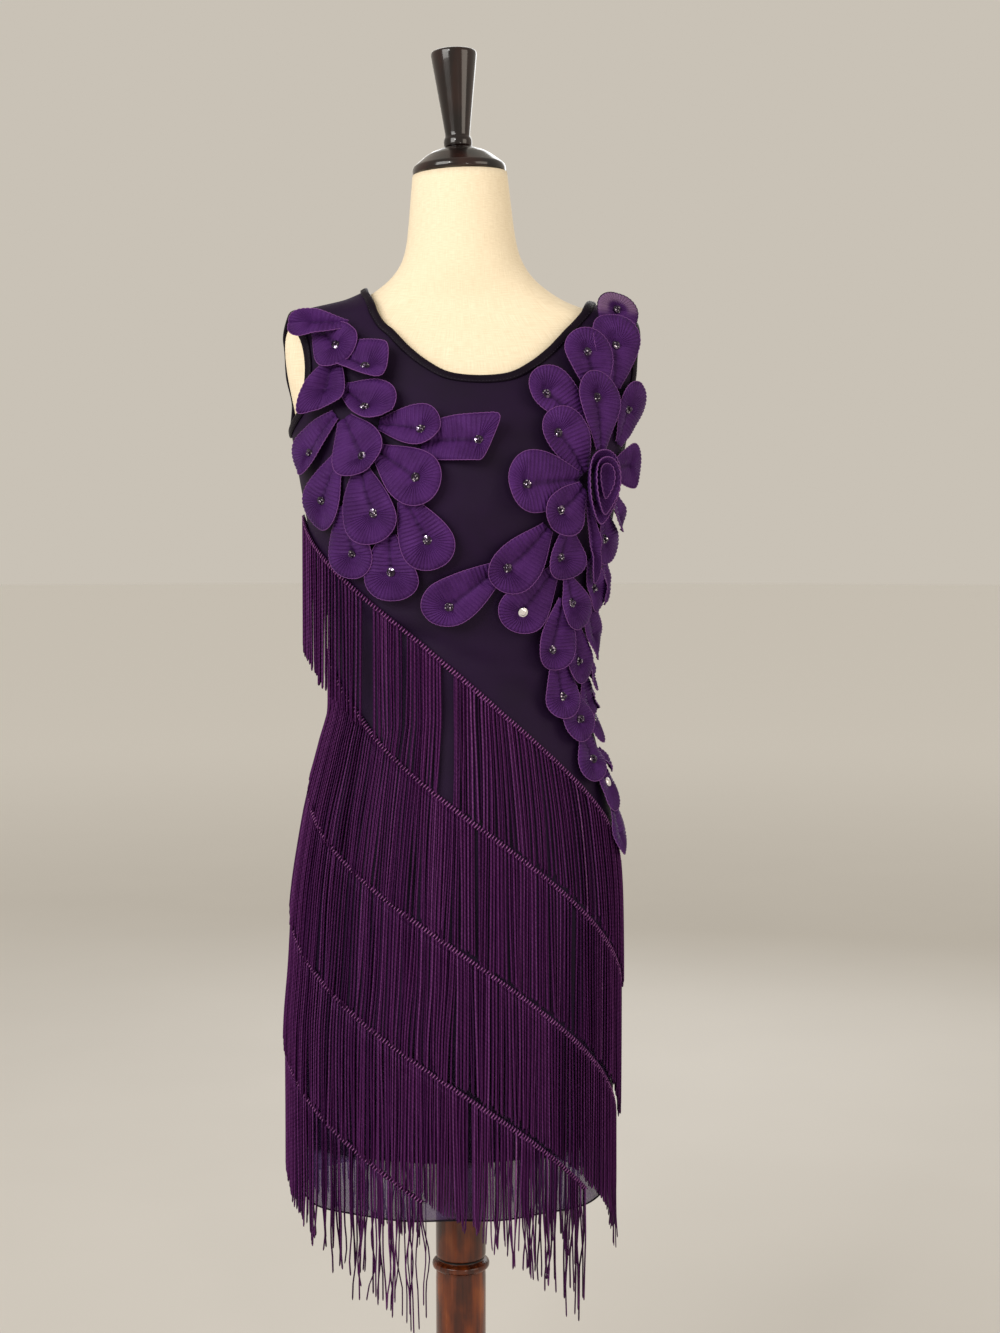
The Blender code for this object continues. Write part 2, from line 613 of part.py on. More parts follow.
def standing_petal(row, root, laid, finish):
    """The petal above the shoulder, flat and clear of the cloth behind it."""
    name, _, _, tip_across, tip_height, width, _ = row
    ends = (tip_across * MM, tip_height * MM)
    widths = np.interp(np.linspace(0, 1, PETAL_SAMPLES_ALONG), PETAL_ALONG, PETAL_WIDTHS)
    shares = np.linspace(-0.5, 0.5, PETAL_SAMPLES_ACROSS)
    along = np.repeat(np.linspace(0, 1, PETAL_SAMPLES_ALONG), len(shares))
    across = (widths[:, None] * shares[None]).reshape(-1) * width * MM
    flat = standing_points(root, *ends, along, across, PETAL_LOW)
    samples = skin(flat)
    laid.append((samples, np.linalg.norm(flat - samples, axis=1) + PETAL_WALL))

    along = np.repeat(PETAL_ALONG, 3)
    across = np.outer(PETAL_WIDTHS, (-0.5, 0.0, 0.5)).reshape(-1) * width * MM
    outer = standing_points(root, *ends, along, across, PETAL_LOW + PETAL_WALL)
    inner = standing_points(root, *ends, along, across, PETAL_LOW)
    return wall(f"petal_{name}", outer, inner, grid_faces(len(PETAL_ALONG) - 1, 2), finish)


def rosette(laid, finish):
    """Two oval cups, one inside the other, in one wall."""
    centre = place(ROSETTE_PLACE[0] * MM, ROSETTE_PLACE[1] * MM)
    normal = skin(centre, 1.0)[0] - centre
    aside = np.cross((0, 0, 1), normal)
    aside /= np.linalg.norm(aside)
    upward = np.cross(normal, aside)
    angles = np.linspace(0, 2 * math.pi, ROSETTE_SIDES, endpoint=False)
    shares, rises = np.array(ROSETTE_RINGS).T
    oval = (
        np.cos(angles)[:, None] * ROSETTE_HALF_WIDTH * aside
        + np.sin(angles)[:, None] * ROSETTE_HALF_HEIGHT * upward
    )
    points = (centre + shares[:, None, None] * oval[None]).reshape(-1, 3)
    points = skin(np.concatenate([points, [centre]]))
    out = np.append(np.repeat(rises, ROSETTE_SIDES), rises[0])
    base = settle(points, out - out.min(), laid) - out.min()
    laid.append((points, base + out + PETAL_WALL))
    faces = grid_faces(len(shares) - 1, ROSETTE_SIDES, closed=True)
    hub = len(points) - 1
    faces += [(hub, (k + 1) % ROSETTE_SIDES, k) for k in range(ROSETTE_SIDES)]
    return wall("petal_r09", skin(points, base + out + PETAL_WALL), skin(points, base + out), faces, finish)


def form(finish):
    """The linen-covered torso: rings up the body, the neck's top cut at the cap's tilt."""
    turns = np.linspace(-180, 180, FORM_COLUMNS, endpoint=False)
    side = np.where(np.abs(turns) <= 90, -1, 1)
    turns = np.where(np.abs(turns) <= 90, turns, np.sign(turns) * 180 - turns)
    rings = body(turns[None, :], np.array(FORM_HEIGHTS)[:, None], side[None, :])
    covered = np.clip((FORM_BARE_FROM - rings[..., 2]) / (FORM_BARE_FROM - FORM_COVERED_TO), 0, 1)
    rings = skin(rings, -FORM_INSET * covered.reshape(-1)).reshape(rings.shape)
    tilt = np.clip((rings[..., 2] - TILT_START) / (FORM_TOP - TILT_START), 0, 1)
    rings[..., 2] += tilt * math.tan(CAP_TILT) * rings[..., 0]
    foot = rings[0] * (FORM_BOTTOM_SHARE, FORM_BOTTOM_SHARE, 1)
    foot[:, 2] = FORM_BOTTOM
    rings = np.concatenate([foot[None], rings])
    faces = grid_faces(len(rings) - 1, FORM_COLUMNS, closed=True)
    faces.append(tuple(reversed(range(FORM_COLUMNS))))
    top = (len(rings) - 1) * FORM_COLUMNS
    faces.append(tuple(range(top, top + FORM_COLUMNS)))
    mesh = bpy.data.meshes.new("form_torso")
    mesh.from_pydata(rings.reshape(-1, 3).tolist(), [], faces)
    mesh.shade_smooth()
    mesh.set_sharp_from_angle(angle=math.radians(60))
    mesh.materials.append(finish)
    piece = bpy.data.objects.new("form_torso", mesh)
    bpy.context.collection.objects.link(piece)
    return piece


def turned(name, profile, finish):
    """A piece turned round its own axis, from a profile that runs down its outer side."""
    mesh = bpy.data.meshes.new(name)
    points = [(radius, 0.0, height) for radius, height in profile]
    mesh.from_pydata(points, [(k, k + 1) for k in range(len(points) - 1)], [])
    mesh.materials.append(finish)
    piece = bpy.data.objects.new(name, mesh)
    bpy.context.collection.objects.link(piece)
    screw = piece.modifiers.new("turn", "SCREW")
    screw.steps = screw.render_steps = TURNED_STEPS
    screw.use_merge_vertices = True
    screw.merge_threshold = 0.00001
    screw.use_smooth_shade = True
    return piece


def strip_samples(edge, height):
    """Points laid over a binding, for the petals that cross it."""
    outer, inner = np.split(edge, 2)
    shares = np.linspace(0, 1, 4)[:, None, None]
    across = (outer[None] + shares * (inner - outer)[None]).reshape(-1, 3)
    halfway = (across + np.roll(across, -1, axis=0)) / 2
    close = np.linalg.norm(halfway - across, axis=1) < 2 * BINDING_WIDTH
    return np.concatenate([across, halfway[close]]), np.full(len(across) + int(close.sum()), height)


def header_samples(row):
    """Points laid over a fringe header and the roots of its locks, near the right-hand petals."""
    around = np.linspace(130, 180, 60)
    drops = np.linspace(-HEADER_HALF - 2 * MM, 0.05, 16)
    heights = row_height(row, around)[None] - drops[:, None]
    points = round_body(np.broadcast_to(around, heights.shape), heights).reshape(-1, 3)
    return points, np.full(len(points), HEADER_OUT + 0.3 * MM)


def build():
    cloth = material("plum_mesh", (0.012, 0.006, 0.022), 0.6)
    trim = material("black_binding", (0.008, 0.005, 0.013), 0.55)
    fringe = material("plum_fringe", (0.060, 0.010, 0.068), 0.4)
    petals = material("purple_petal", (0.072, 0.022, 0.205), 0.6)
    linen = material("natural_linen", (0.83, 0.74, 0.57), 0.85)
    lacquer = material("black_lacquer", (0.006, 0.003, 0.003), 0.15)
    wood = material("dark_wood", (0.060, 0.016, 0.005), 0.25)

    form(linen)
    cap = turned("neck_cap", CAP_PROFILE, lacquer)
    finial = turned("neck_finial", FINIAL_PROFILE, lacquer)
    for piece in (cap, finial):
        piece.location.z = CAP_BASE
        piece.rotation_euler.y = -CAP_TILT
    turned("stand_pole", POLE_PROFILE, wood)
    turned("stand_base", BASE_PROFILE, wood)

    neck = neck_loop()
    left_hole = armhole_loop(-90, LEFT_FRONT, LEFT_BACK, LEFT_SHOULDER)
    right_hole = armhole_loop(90, RIGHT_FRONT, RIGHT_BACK, RIGHT_SHOULDER)
    if beside(neck, 1.0 * MM)[0, 2] > neck[0, 2]:
        neck = neck[::-1]
    if beside(left_hole, 1.0 * MM)[0, 2] > left_hole[0, 2]:
        left_hole = left_hole[::-1]
    if beside(right_hole, 1.0 * MM)[0, 2] > right_hole[0, 2]:
        right_hole = right_hole[::-1]
    edges = [beside(loop, EDGE_INSET) for loop in (neck, left_hole, right_hole)]
    panel("dress_front", -1, edges, cloth)
    panel("dress_back", 1, edges, cloth)
    lining(cloth)
    laid = []
    for name, loop, count in (
        ("neck_binding", neck, NECK_POINTS),
        ("armhole_binding_left", left_hole, ARMHOLE_POINTS),
        ("armhole_binding_right", right_hole, ARMHOLE_POINTS),
    ):
        laid.append(strip_samples(binding(name, loop, count, trim), BINDING_OUT))
    for row in range(len(ROW_HEIGHTS)):
        fringe_row(row, fringe)
    laid.append(header_samples(0))
    for row in LEFT_PETALS + RIGHT_PETALS:
        petal(row, laid, petals)
    rosette(laid, petals)


for leftover in list(bpy.data.objects):
    bpy.data.objects.remove(leftover)
build()
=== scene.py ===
"""A fringed flapper dress with pleated petals, on its limbless dress form and turned stand.

Metres, +Z up, the front facing -Y and +X on the viewer's right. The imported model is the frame. Each
section below is one piece, from the stand up to the last bead.
"""

import contextlib
import math

import bmesh
import bpy
import numpy as np
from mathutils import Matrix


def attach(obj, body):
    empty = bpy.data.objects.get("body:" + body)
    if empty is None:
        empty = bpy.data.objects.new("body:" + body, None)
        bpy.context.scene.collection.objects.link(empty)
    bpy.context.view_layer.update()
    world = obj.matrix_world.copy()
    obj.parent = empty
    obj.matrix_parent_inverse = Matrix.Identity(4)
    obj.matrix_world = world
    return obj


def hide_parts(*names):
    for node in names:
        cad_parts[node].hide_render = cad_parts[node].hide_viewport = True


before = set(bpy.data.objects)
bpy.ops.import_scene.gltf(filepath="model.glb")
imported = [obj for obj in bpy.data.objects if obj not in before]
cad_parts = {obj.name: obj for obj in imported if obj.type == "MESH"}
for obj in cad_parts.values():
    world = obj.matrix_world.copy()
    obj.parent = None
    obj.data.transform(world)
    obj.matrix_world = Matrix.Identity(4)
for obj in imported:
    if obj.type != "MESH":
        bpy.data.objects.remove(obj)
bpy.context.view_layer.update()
bpy.ops.object.select_all(action="DESELECT")

MM = 0.001

# ---------------------------------------------------------------------------------------------------
# Stand: a weighted round foot and one thick pole, turned in dark brown hardwood made to look like
# bamboo. The pole's joint is a lip with a groove above it, made near-black by painted shade. All is
# varnished to a gloss.


class Socket:
    """A value in a material's nodes. Maths on it adds the nodes that work it out."""

    def __init__(self, tree, output):
        self.tree = tree
        self.output = output

    def node(self, kind, inputs, output=0, stops=(), **settings):
        """Adds any node: its settings, a ramp's stops, then the values or links of its sockets."""
        made = self.tree.nodes.new("ShaderNode" + kind)
        for name, value in settings.items():
            setattr(made, name, value)
        for index, (position, colour) in enumerate(stops):
            if index > 1:
                made.color_ramp.elements.new(position)
            made.color_ramp.elements[index].position = position
            made.color_ramp.elements[index].color = colour
        for name, value in inputs.items():
            if isinstance(value, Socket):
                self.tree.links.new(value.output, made.inputs[name])
            else:
                made.inputs[name].default_value = value
        return Socket(self.tree, made.outputs[output])

    def math(self, operation, *values):
        return self.node("Math", dict(enumerate(values)), operation=operation)

    def __add__(self, other):
        return self.math("ADD", self, other)

    def __sub__(self, other):
        return self.math("SUBTRACT", self, other)

    def __rsub__(self, other):
        return self.math("SUBTRACT", other, self)

    def __mul__(self, other):
        return self.math("MULTIPLY", self, other)

    def __truediv__(self, other):
        return self.math("DIVIDE", self, other)

    __radd__ = __add__
    __rmul__ = __mul__

    def sine(self):
        return self.math("SINE", self)

    def wave(self, pitch):
        """Swings between 0 and 1, once in each pitch."""
        return (self * (2 * math.pi / pitch)).sine() * 0.5 + 0.5

    def part(self, axis):
        return self.node("SeparateXYZ", {0: self}, output="XYZ".index(axis))

    def ramp(self, low, high):
        """0 below low, 1 above high and smooth between."""
        return self.node(
            "MapRange",
            {"Value": self, "From Min": low, "From Max": high},
            interpolation_type="SMOOTHSTEP",
        )

    def noise(self, size, detail=2.0, stretch=(1.0, 1.0, 1.0)):
        """Noise with features of this size in metres, drawn out along each axis by stretch."""
        scale = [1.0 / (size * amount) for amount in stretch]
        placed = self.node("Mapping", {"Vector": self, "Scale": scale})
        return placed.node("TexNoise", {"Vector": placed, "Scale": 1.0, "Detail": detail})

    def mix(self, first, second):
        """The first colour where this is 0, and the second where it is 1."""
        return self.node("Mix", {0: self, 6: first, 7: second}, output=2, data_type="RGBA")


def srgb(red, green, blue):
    """A colour given as it shows on a screen, from 0 to 255."""
    parts = [value / 255 for value in (red, green, blue)]
    return (*((p / 12.92 if p < 0.04045 else ((p + 0.055) / 1.055) ** 2.4) for p in parts), 1.0)


class Finish:
    """A Principled material: constants on its own sockets, and what varies fed in by name."""

    def __init__(self, name, **constants):
        self.material = bpy.data.materials.new(name)
        self.material.use_nodes = True
        self.tree = self.material.node_tree
        self.shader = self.tree.nodes["Principled BSDF"]
        for socket, value in constants.items():
            self.shader.inputs[socket.replace("_", " ")].default_value = value
        coordinates = self.tree.nodes.new("ShaderNodeTexCoord")
        self.place = Socket(self.tree, coordinates.outputs["Object"])
        self.uv = Socket(self.tree, coordinates.outputs["UV"])

    def attribute(self, name):
        return self.place.node("Attribute", {}, output="Fac", attribute_name=name)

    def feed(self, socket, value):
        self.tree.links.new(value.output, self.shader.inputs[socket])

    def bump(self, height, distance, strength=1.0):
        """Raises the surface by height, from 0 to 1, times this distance in metres."""
        normal = height.node("Bump", {"Height": height, "Distance": distance, "Strength": strength})
        self.feed("Normal", normal)


CORNER_SHARE = 0.45
CORNER_STEPS = (0, 0.25, 0.5, 0.75, 1)
TURNED_STEPS = 96
TURNED_SHARP = math.radians(35)
MERGE = 1e-6


def only(piece):
    """Selects this piece alone and makes it the active one."""
    bpy.ops.object.select_all(action="DESELECT")
    piece.select_set(True)
    bpy.context.view_layer.objects.active = piece


def rounded(outline, corner):
    """An outline with its inner corners rounded off, by this length at most."""
    points = [np.array(point) for point in outline]
    path = [points[0]]
    for before, point, after in zip(points, points[1:], points[2:]):
        ends = []
        for end in (before, after):
            side = np.linalg.norm(end - point)
            ends.append(point + (end - point) / side * min(corner, CORNER_SHARE * side))
        start, stop = ends
        for t in CORNER_STEPS:
            path.append((1 - t) ** 2 * start + 2 * t * (1 - t) * point + t**2 * stop)
    return [*path, points[-1]]


def turned(name, outline, corner, finish):
    """A turned piece: its outline is extruded point by point, then spun round the axis."""
    path = rounded(outline, corner)
    bpy.ops.mesh.primitive_plane_add(size=MM)
    piece = bpy.context.object
    piece.name = piece.data.name = name
    bpy.ops.object.mode_set(mode="EDIT")
    bpy.ops.mesh.select_all(action="SELECT")
    bpy.ops.mesh.merge(type="CENTER")
    bpy.ops.transform.translate(value=(path[0][0], 0, path[0][1]))
    for start, end in zip(path, path[1:]):
        step = (end[0] - start[0], 0, end[1] - start[1])
        bpy.ops.mesh.extrude_region_move(TRANSFORM_OT_translate={"value": step})
    bpy.ops.mesh.select_all(action="SELECT")
    bpy.ops.mesh.spin(steps=TURNED_STEPS, angle=2 * math.pi, center=(0, 0, 0), axis=(0, 0, 1))
    bpy.ops.mesh.select_all(action="SELECT")
    bpy.ops.mesh.remove_doubles(threshold=MERGE)
    bpy.ops.mesh.normals_make_consistent(inside=False)
    bpy.ops.object.mode_set(mode="OBJECT")
    bpy.ops.object.transform_apply(location=True, rotation=True, scale=True)
    bpy.ops.object.shade_smooth_by_angle(angle=TURNED_SHARP)
    piece.data.materials.append(finish.material)
    return piece


POLE_RADIUS = 26.5 * MM
POLE_TOP = 0.6997
POLE_OUTLINE = (
    (0.0, POLE_TOP), (POLE_RADIUS, POLE_TOP), (POLE_RADIUS - 0.0003, 0.5400), (POLE_RADIUS, 0.3860),
    (POLE_RADIUS - 0.0004, 0.3832), (0.0242, 0.3822), (0.0240, 0.3796), (0.0272, 0.3789), (0.0298, 0.3772),
    (0.0305, 0.3745), (0.0298, 0.3716), (0.0274, 0.3700), (0.0258, 0.3694), (0.0262, 0.3670),
    (POLE_RADIUS, 0.3600), (POLE_RADIUS - 0.0003, 0.2000), (POLE_RADIUS, 0.0305), (0.0, 0.0305),
)
FOOT_OUTLINE = (
    (0.0, 0.0300), (0.0480, 0.0300), (0.0520, 0.0270), (0.0560, 0.0222), (0.1050, 0.0212), (0.1700, 0.0190),
    (0.1850, 0.0160), (0.1900, 0.0110), (0.1900, 0.0020), (0.1880, 0.0), (0.0, 0.0),
)

GRAIN, GRAIN_STRETCH = 6 * MM, 22
FIGURE, FIGURE_STRETCH = 30 * MM, 2.0
WOOD_TONES = (
    (0.32, srgb(26, 8, 3)),
    (0.47, srgb(68, 26, 9)),
    (0.60, srgb(108, 47, 13)),
    (0.74, srgb(140, 72, 24)),
)

wood = Finish("varnished_wood", Coat_Roughness=0.08, IOR=1.5, Specular_IOR_Level=0.3)
wood_height = wood.place.part("Z")
# the grain runs up the pole, and across the foot
upright = wood_height.ramp(0.029, 0.031)
streaks = upright * wood.place.noise(GRAIN, 3.0, stretch=(1, 1, GRAIN_STRETCH))
streaks += (1 - upright) * wood.place.noise(GRAIN, 3.0, stretch=(GRAIN_STRETCH, 1, 1))
blotches = wood.place.noise(FIGURE, 3.0, stretch=(1, 1, FIGURE_STRETCH))
blotches = blotches * (0.3 + 0.7 * upright) + 0.35 * (1 - upright)
figure = streaks * 0.4 + blotches * 0.8 - 0.1
warmth = figure.node("ValToRGB", {0: figure}, stops=WOOD_TONES)
# painted shade: the groove above the lip is painted near-black, and made rougher
groove_painted_shade = wood_height.ramp(0.3795, 0.3805) * (1 - wood_height.ramp(0.3824, 0.3834))
wood.feed("Base Color", groove_painted_shade.mix(warmth, srgb(4, 2, 2)))
wood.feed("Roughness", 0.20 + 0.12 * streaks + 0.3 * groove_painted_shade)
wood.feed("Coat Weight", 0.5 - 0.3 * blotches)
wood.bump(streaks, 0.25 * MM, 0.5)

pole = turned("stand_pole_turned", POLE_OUTLINE, 1.2 * MM, wood)
foot = turned("stand_foot_turned", FOOT_OUTLINE, 3 * MM, wood)
for piece, node in ((pole, "stand_pole"), (foot, "stand_base")):
    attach(piece, "root")
    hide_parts(node)

# ---------------------------------------------------------------------------------------------------
# Form: a moulded torso under stretched natural linen, plain woven, with slubs in both threads. The
# cloth is turned under below the hips and tucked under the cap at the neck.

THREAD = 0.75 * MM
SLUB_STRETCH = 22
NECK_ROUND = 0.12
FORM_SHARP = math.radians(50)
QUAD_ANGLE = math.radians(60)

linen = Finish("natural_linen", Roughness=0.92, Specular_IOR_Level=0.2, Sheen_Weight=0.12)
around = linen.place.math("ARCTAN2", linen.place.part("Y"), linen.place.part("X")) * NECK_ROUND
wound = around.node("CombineXYZ", {0: around, 1: 0.0, 2: linen.place.part("Z")})
warp = wound.noise(THREAD, 2.0, stretch=(1, 1, SLUB_STRETCH))
weft = wound.noise(THREAD, 2.0, stretch=(SLUB_STRETCH, 1, 1))
weave = warp * 0.5 + weft * 0.5
age = linen.place.noise(90 * MM, 3.0)
thread_colour = weave.ramp(0.32, 0.68).mix(srgb(226, 209, 178), srgb(243, 229, 202))
linen.feed("Base Color", (age.ramp(0.35, 0.8) * 0.25).mix(thread_colour, srgb(234, 216, 184)))
linen.bump(weave, 0.35 * MM, 0.55)


def merged_copy(node, name):
    """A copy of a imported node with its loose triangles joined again."""
    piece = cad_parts[node].copy()
    piece.data = piece.data.copy()
    piece.name = piece.data.name = name
    piece.parent = None
    for key in list(piece.keys()):
        del piece[key]
    bpy.context.collection.objects.link(piece)
    only(piece)
    piece.data.materials.clear()
    bpy.ops.object.mode_set(mode="EDIT")
    bpy.ops.mesh.select_all(action="SELECT")
    bpy.ops.mesh.remove_doubles(threshold=MERGE)
    bpy.ops.mesh.tris_convert_to_quads(face_threshold=QUAD_ANGLE, shape_threshold=QUAD_ANGLE)
    bpy.ops.object.mode_set(mode="OBJECT")
    return piece


@contextlib.contextmanager
def reworked(piece):
    """The piece's mesh, held open for changes and then written back."""
    made = bmesh.new()
    made.from_mesh(piece.data)
    yield made
    made.to_mesh(piece.data)
    made.free()


def crease_rims(piece, angle):
    """Holds the edges that turn by more than this angle, so that subdividing keeps them."""
    with reworked(piece) as made:
        layer = made.edges.layers.float.new("crease_edge")
        for edge in made.edges:
            if len(edge.link_faces) == 2 and edge.calc_face_angle() > angle:
                edge[layer] = 1.0


torso = merged_copy("form_torso", "form_torso_linen")
crease_rims(torso, FORM_SHARP)
smooth = torso.modifiers.new("smooth", "SUBSURF")
smooth.levels = smooth.render_levels = 2
bpy.ops.object.modifier_apply(modifier="smooth")
bpy.ops.object.shade_smooth_by_angle(angle=FORM_SHARP)
torso.data.materials.append(linen.material)
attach(torso, "root")
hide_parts("form_torso")

# ---------------------------------------------------------------------------------------------------
# Cap and finial: black-brown lacquered hardwood, turned. The cap closes the neck and leans a little
# with it. The finial is a waisted knob that flares to a flat top.

CAP_LEAN = math.radians(2.7)
CAP_BASE = 1.5140
CAP_OUTLINE = (
    (0.0, 0.0252), (0.0120, 0.0252), (0.0165, 0.0262), (0.0190, 0.0252), (0.0205, 0.0238),
    (0.0265, 0.0226), (0.0330, 0.0190), (0.0392, 0.0142), (0.0440, 0.0104), (0.0470, 0.0080),
    (0.0480, 0.0042), (0.0475, 0.0008), (0.0440, 0.0), (0.0, 0.0),
)
FINIAL_OUTLINE = (
    (0.0, 0.1240), (0.0180, 0.1240), (0.0205, 0.1238), (0.0230, 0.1225), (0.0235, 0.1200),
    (0.0222, 0.1100), (0.0180, 0.0800), (0.0146, 0.0550), (0.0127, 0.0400), (0.0128, 0.0375),
    (0.0143, 0.0350), (0.0146, 0.0318), (0.0143, 0.0285), (0.0132, 0.0268), (0.0133, 0.0257),
    (0.0, 0.0257),
)

lacquer = Finish("black_lacquer", Coat_Weight=0.5, Coat_Roughness=0.04, IOR=1.5, Specular_IOR_Level=0.3)
rubbed = lacquer.place.noise(26 * MM, 3.0, stretch=(1, 1, 3))
lacquer.feed("Base Color", rubbed.ramp(0.35, 0.75).mix(srgb(10, 5, 5), srgb(38, 16, 11)))
lacquer.feed("Roughness", 0.10 + 0.16 * rubbed)
lacquer.bump(lacquer.place.noise(3 * MM, 2.0, stretch=(1, 1, 8)), 0.06 * MM, 0.4)

cap = turned("neck_cap_turned", CAP_OUTLINE, 1.5 * MM, lacquer)
finial = turned("neck_finial_turned", FINIAL_OUTLINE, 2 * MM, lacquer)
for piece, node in ((cap, "neck_cap"), (finial, "neck_finial")):
    piece.rotation_euler.y = -CAP_LEAN
    piece.location.z = CAP_BASE
    only(piece)
    bpy.ops.object.transform_apply(location=True, rotation=True, scale=True)
    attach(piece, "root")
    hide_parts(node)

# ---------------------------------------------------------------------------------------------------
# Lining: a short tube of plain dark tricot under the skirt, cut 55 mm shorter than the mesh, so that
# the hem below it is sheer. Its top is caught in the side seams under the form.

# The body that the cloth lies on: half width, depth in front, depth behind and shift, by height.
BODY = (
    (0.440, 0.160, 0.112, 0.114, -0.009),
    (0.560, 0.166, 0.111, 0.117, -0.009),
    (0.640, 0.168, 0.109, 0.120, -0.008),
    (0.700, 0.167, 0.106, 0.122, -0.005),
    (0.770, 0.165, 0.102, 0.122, -0.003),
    (0.850, 0.156, 0.096, 0.112, -0.001),
    (0.930, 0.138, 0.088, 0.094, 0.0),
    (0.978, 0.127, 0.084, 0.082, 0.0),
    (1.040, 0.130, 0.090, 0.080, 0.0),
    (1.100, 0.142, 0.106, 0.086, 0.0),
    (1.150, 0.152, 0.120, 0.092, 0.0),
    (1.190, 0.159, 0.125, 0.095, 0.0),
    (1.230, 0.166, 0.117, 0.096, 0.0),
    (1.275, 0.174, 0.100, 0.096, 0.0),
    (1.312, 0.182, 0.084, 0.090, 0.0),
    (1.345, 0.184, 0.068, 0.076, 0.0),
    (1.367, 0.172, 0.055, 0.062, 0.0),
    (1.383, 0.117, 0.050, 0.055, 0.003),
    (1.394, 0.094, 0.050, 0.054, 0.003),
    (1.407, 0.074, 0.050, 0.053, 0.003),
    (1.423, 0.062, 0.050, 0.052, 0.003),
    (1.442, 0.056, 0.049, 0.051, 0.002),
    (1.483, 0.052, 0.047, 0.049, 0.001),
    (1.530, 0.047, 0.045, 0.046, 0.0),
)
SKIN_STEPS = 6
SLOPE_STEP = 1e-6


def curve(table, at):
    """A smooth curve through the table's rows that never overshoots them, read at each height."""
    rows = np.array(table)
    heights, values = rows[:, 0], rows[:, 1:]
    steps = np.diff(heights)[:, None]
    rates = np.diff(values, axis=0) / steps
    product = rates[:-1] * rates[1:]
    total = rates[:-1] + rates[1:]
    inner = np.where(product > 0, 2 * product / np.where(product > 0, total, 1), 0)
    slopes = np.concatenate([rates[:1], inner, rates[-1:]])
    at = np.clip(np.asarray(at, float), heights[0], heights[-1])
    low = np.clip(np.searchsorted(heights, at) - 1, 0, len(steps) - 1)
    step = steps[low]
    s = (at[..., None] - heights[low][..., None]) / step
    return (
        (1 + 2 * s) * (1 - s) ** 2 * values[low]
        + s * (1 - s) ** 2 * step * slopes[low]
        + s**2 * (3 - 2 * s) * values[low + 1]
        + s**2 * (s - 1) * step * slopes[low + 1]
    )


def level(points):
    """How far outside the body each point is, as a share of the body's own radius there."""
    half, front, back, shift = curve(BODY, points[:, 2]).T
    depth = np.where(points[:, 1] < 0, front, back)
    return np.hypot((points[:, 0] - shift) / half, points[:, 1] / depth) - 1


def steepest(points):
    """The gradient of level()."""
    slopes = np.empty_like(points)
    for axis in range(3):
        step = np.zeros(3)
        step[axis] = SLOPE_STEP
        slopes[:, axis] = (level(points + step) - level(points - step)) / (2 * SLOPE_STEP)
    return slopes


def unit(rows):
    """The same vectors at length 1, one in each row."""
    return rows / np.linalg.norm(rows, axis=1)[:, None]


def skin(points, out=0.0):
    """The points of the body surface nearest to these, moved outward by out."""
    points = np.array(points, float).reshape(-1, 3)
    for _ in range(SKIN_STEPS):
        slopes = steepest(points)
        points = points - (level(points) / (slopes**2).sum(axis=1))[:, None] * slopes
    return points + np.reshape(out, (-1, 1)) * unit(steepest(points))


def normals_at(points):
    """The body's outward direction at each of these points."""
    return skin(points, 1.0) - skin(points)


def body(turn, height, side):
    """The surface point at this turn in degrees, from -90 at the left seam to 90 at the right."""
    turn, height, side = np.broadcast_arrays(np.radians(turn), height, side)
    half, front, back, shift = np.moveaxis(curve(BODY, height), -1, 0)
    depth = np.where(side < 0, front, back)
    return np.stack([shift + half * np.sin(turn), side * depth * np.cos(turn), height], axis=-1)


def round_body(around, height):
    """The surface point at this turn from the left seam, positive over the front, negative behind."""
    return body(np.abs(around) - 90, height, np.where(around >= 0, -1, 1))


def grid_faces(rows, columns, closed=False, looped=False):
    """Quads over a grid of points, row by row.

    A closed grid's last column joins its first, and a looped grid's last row joins its first."""
    wrap = columns if closed else columns + 1
    row, k = np.meshgrid(np.arange(rows), np.arange(columns), indexing="ij")
    after = (k + 1) % wrap
    start = row * wrap
    end = (row + 1) % (rows if looped else rows + 1) * wrap
    return np.stack([start + k, start + after, end + after, end + k], -1).reshape(-1, 4)


def cloth_mesh(name, points, faces, finish, uv=None, tone_and_painted_light=None):
    """An object from points and faces, with a UV and a tone value for each point where they are given. The
    tone value may carry painted light and shade.
    """
    mesh = bpy.data.meshes.new(name)
    mesh.from_pydata(np.asarray(points).tolist(), [], np.asarray(faces).tolist())
    if uv is not None:
        corners = np.zeros(len(mesh.loops), np.int32)
        mesh.loops.foreach_get("vertex_index", corners)
        layer = mesh.uv_layers.new(name="cloth")
        layer.data.foreach_set("uv", np.asarray(uv, np.float32)[corners].ravel())
    if tone_and_painted_light is not None:
        attribute = mesh.attributes.new("tone_and_painted_light", "FLOAT", "POINT")
        attribute.data.foreach_set("value", np.asarray(tone_and_painted_light, np.float32))
    mesh.materials.append(finish.material)
    mesh.shade_smooth()
    piece = bpy.data.objects.new(name, mesh)
    bpy.context.collection.objects.link(piece)
    return piece


def faces_pole(made):
    """Whether a sheet's modelled face looks toward the pole on the whole."""
    total = 0.0
    for face in made.faces:
        away = face.calc_center_median()
        away.z = 0
        total += face.normal.dot(away) * face.calc_area()
    return total < 0


def thicken(piece, wall):
    """Gives a sheet its thickness, inward from the modelled face, and applies it."""
    with reworked(piece) as made:
        bmesh.ops.remove_doubles(made, verts=made.verts, dist=MERGE)
        if faces_pole(made):
            bmesh.ops.reverse_faces(made, faces=made.faces)
    only(piece)
    solid = piece.modifiers.new("wall", "SOLIDIFY")
    solid.thickness = wall
    solid.offset = -1.0
    bpy.ops.object.modifier_apply(modifier="wall")


LINING_BOTTOM, LINING_TOP = 0.5165, 0.690
LINING_IN_BELOW, LINING_IN_ABOVE = -1.5 * MM, 2.1 * MM
LINING_COLUMNS, LINING_ROWS = 180, 40
LINING_WALL = 1.0 * MM
LINING_RIB = 0.9 * MM
LINING_FOLDS, LINING_FOLD_DEPTH = 14, 0.8 * MM

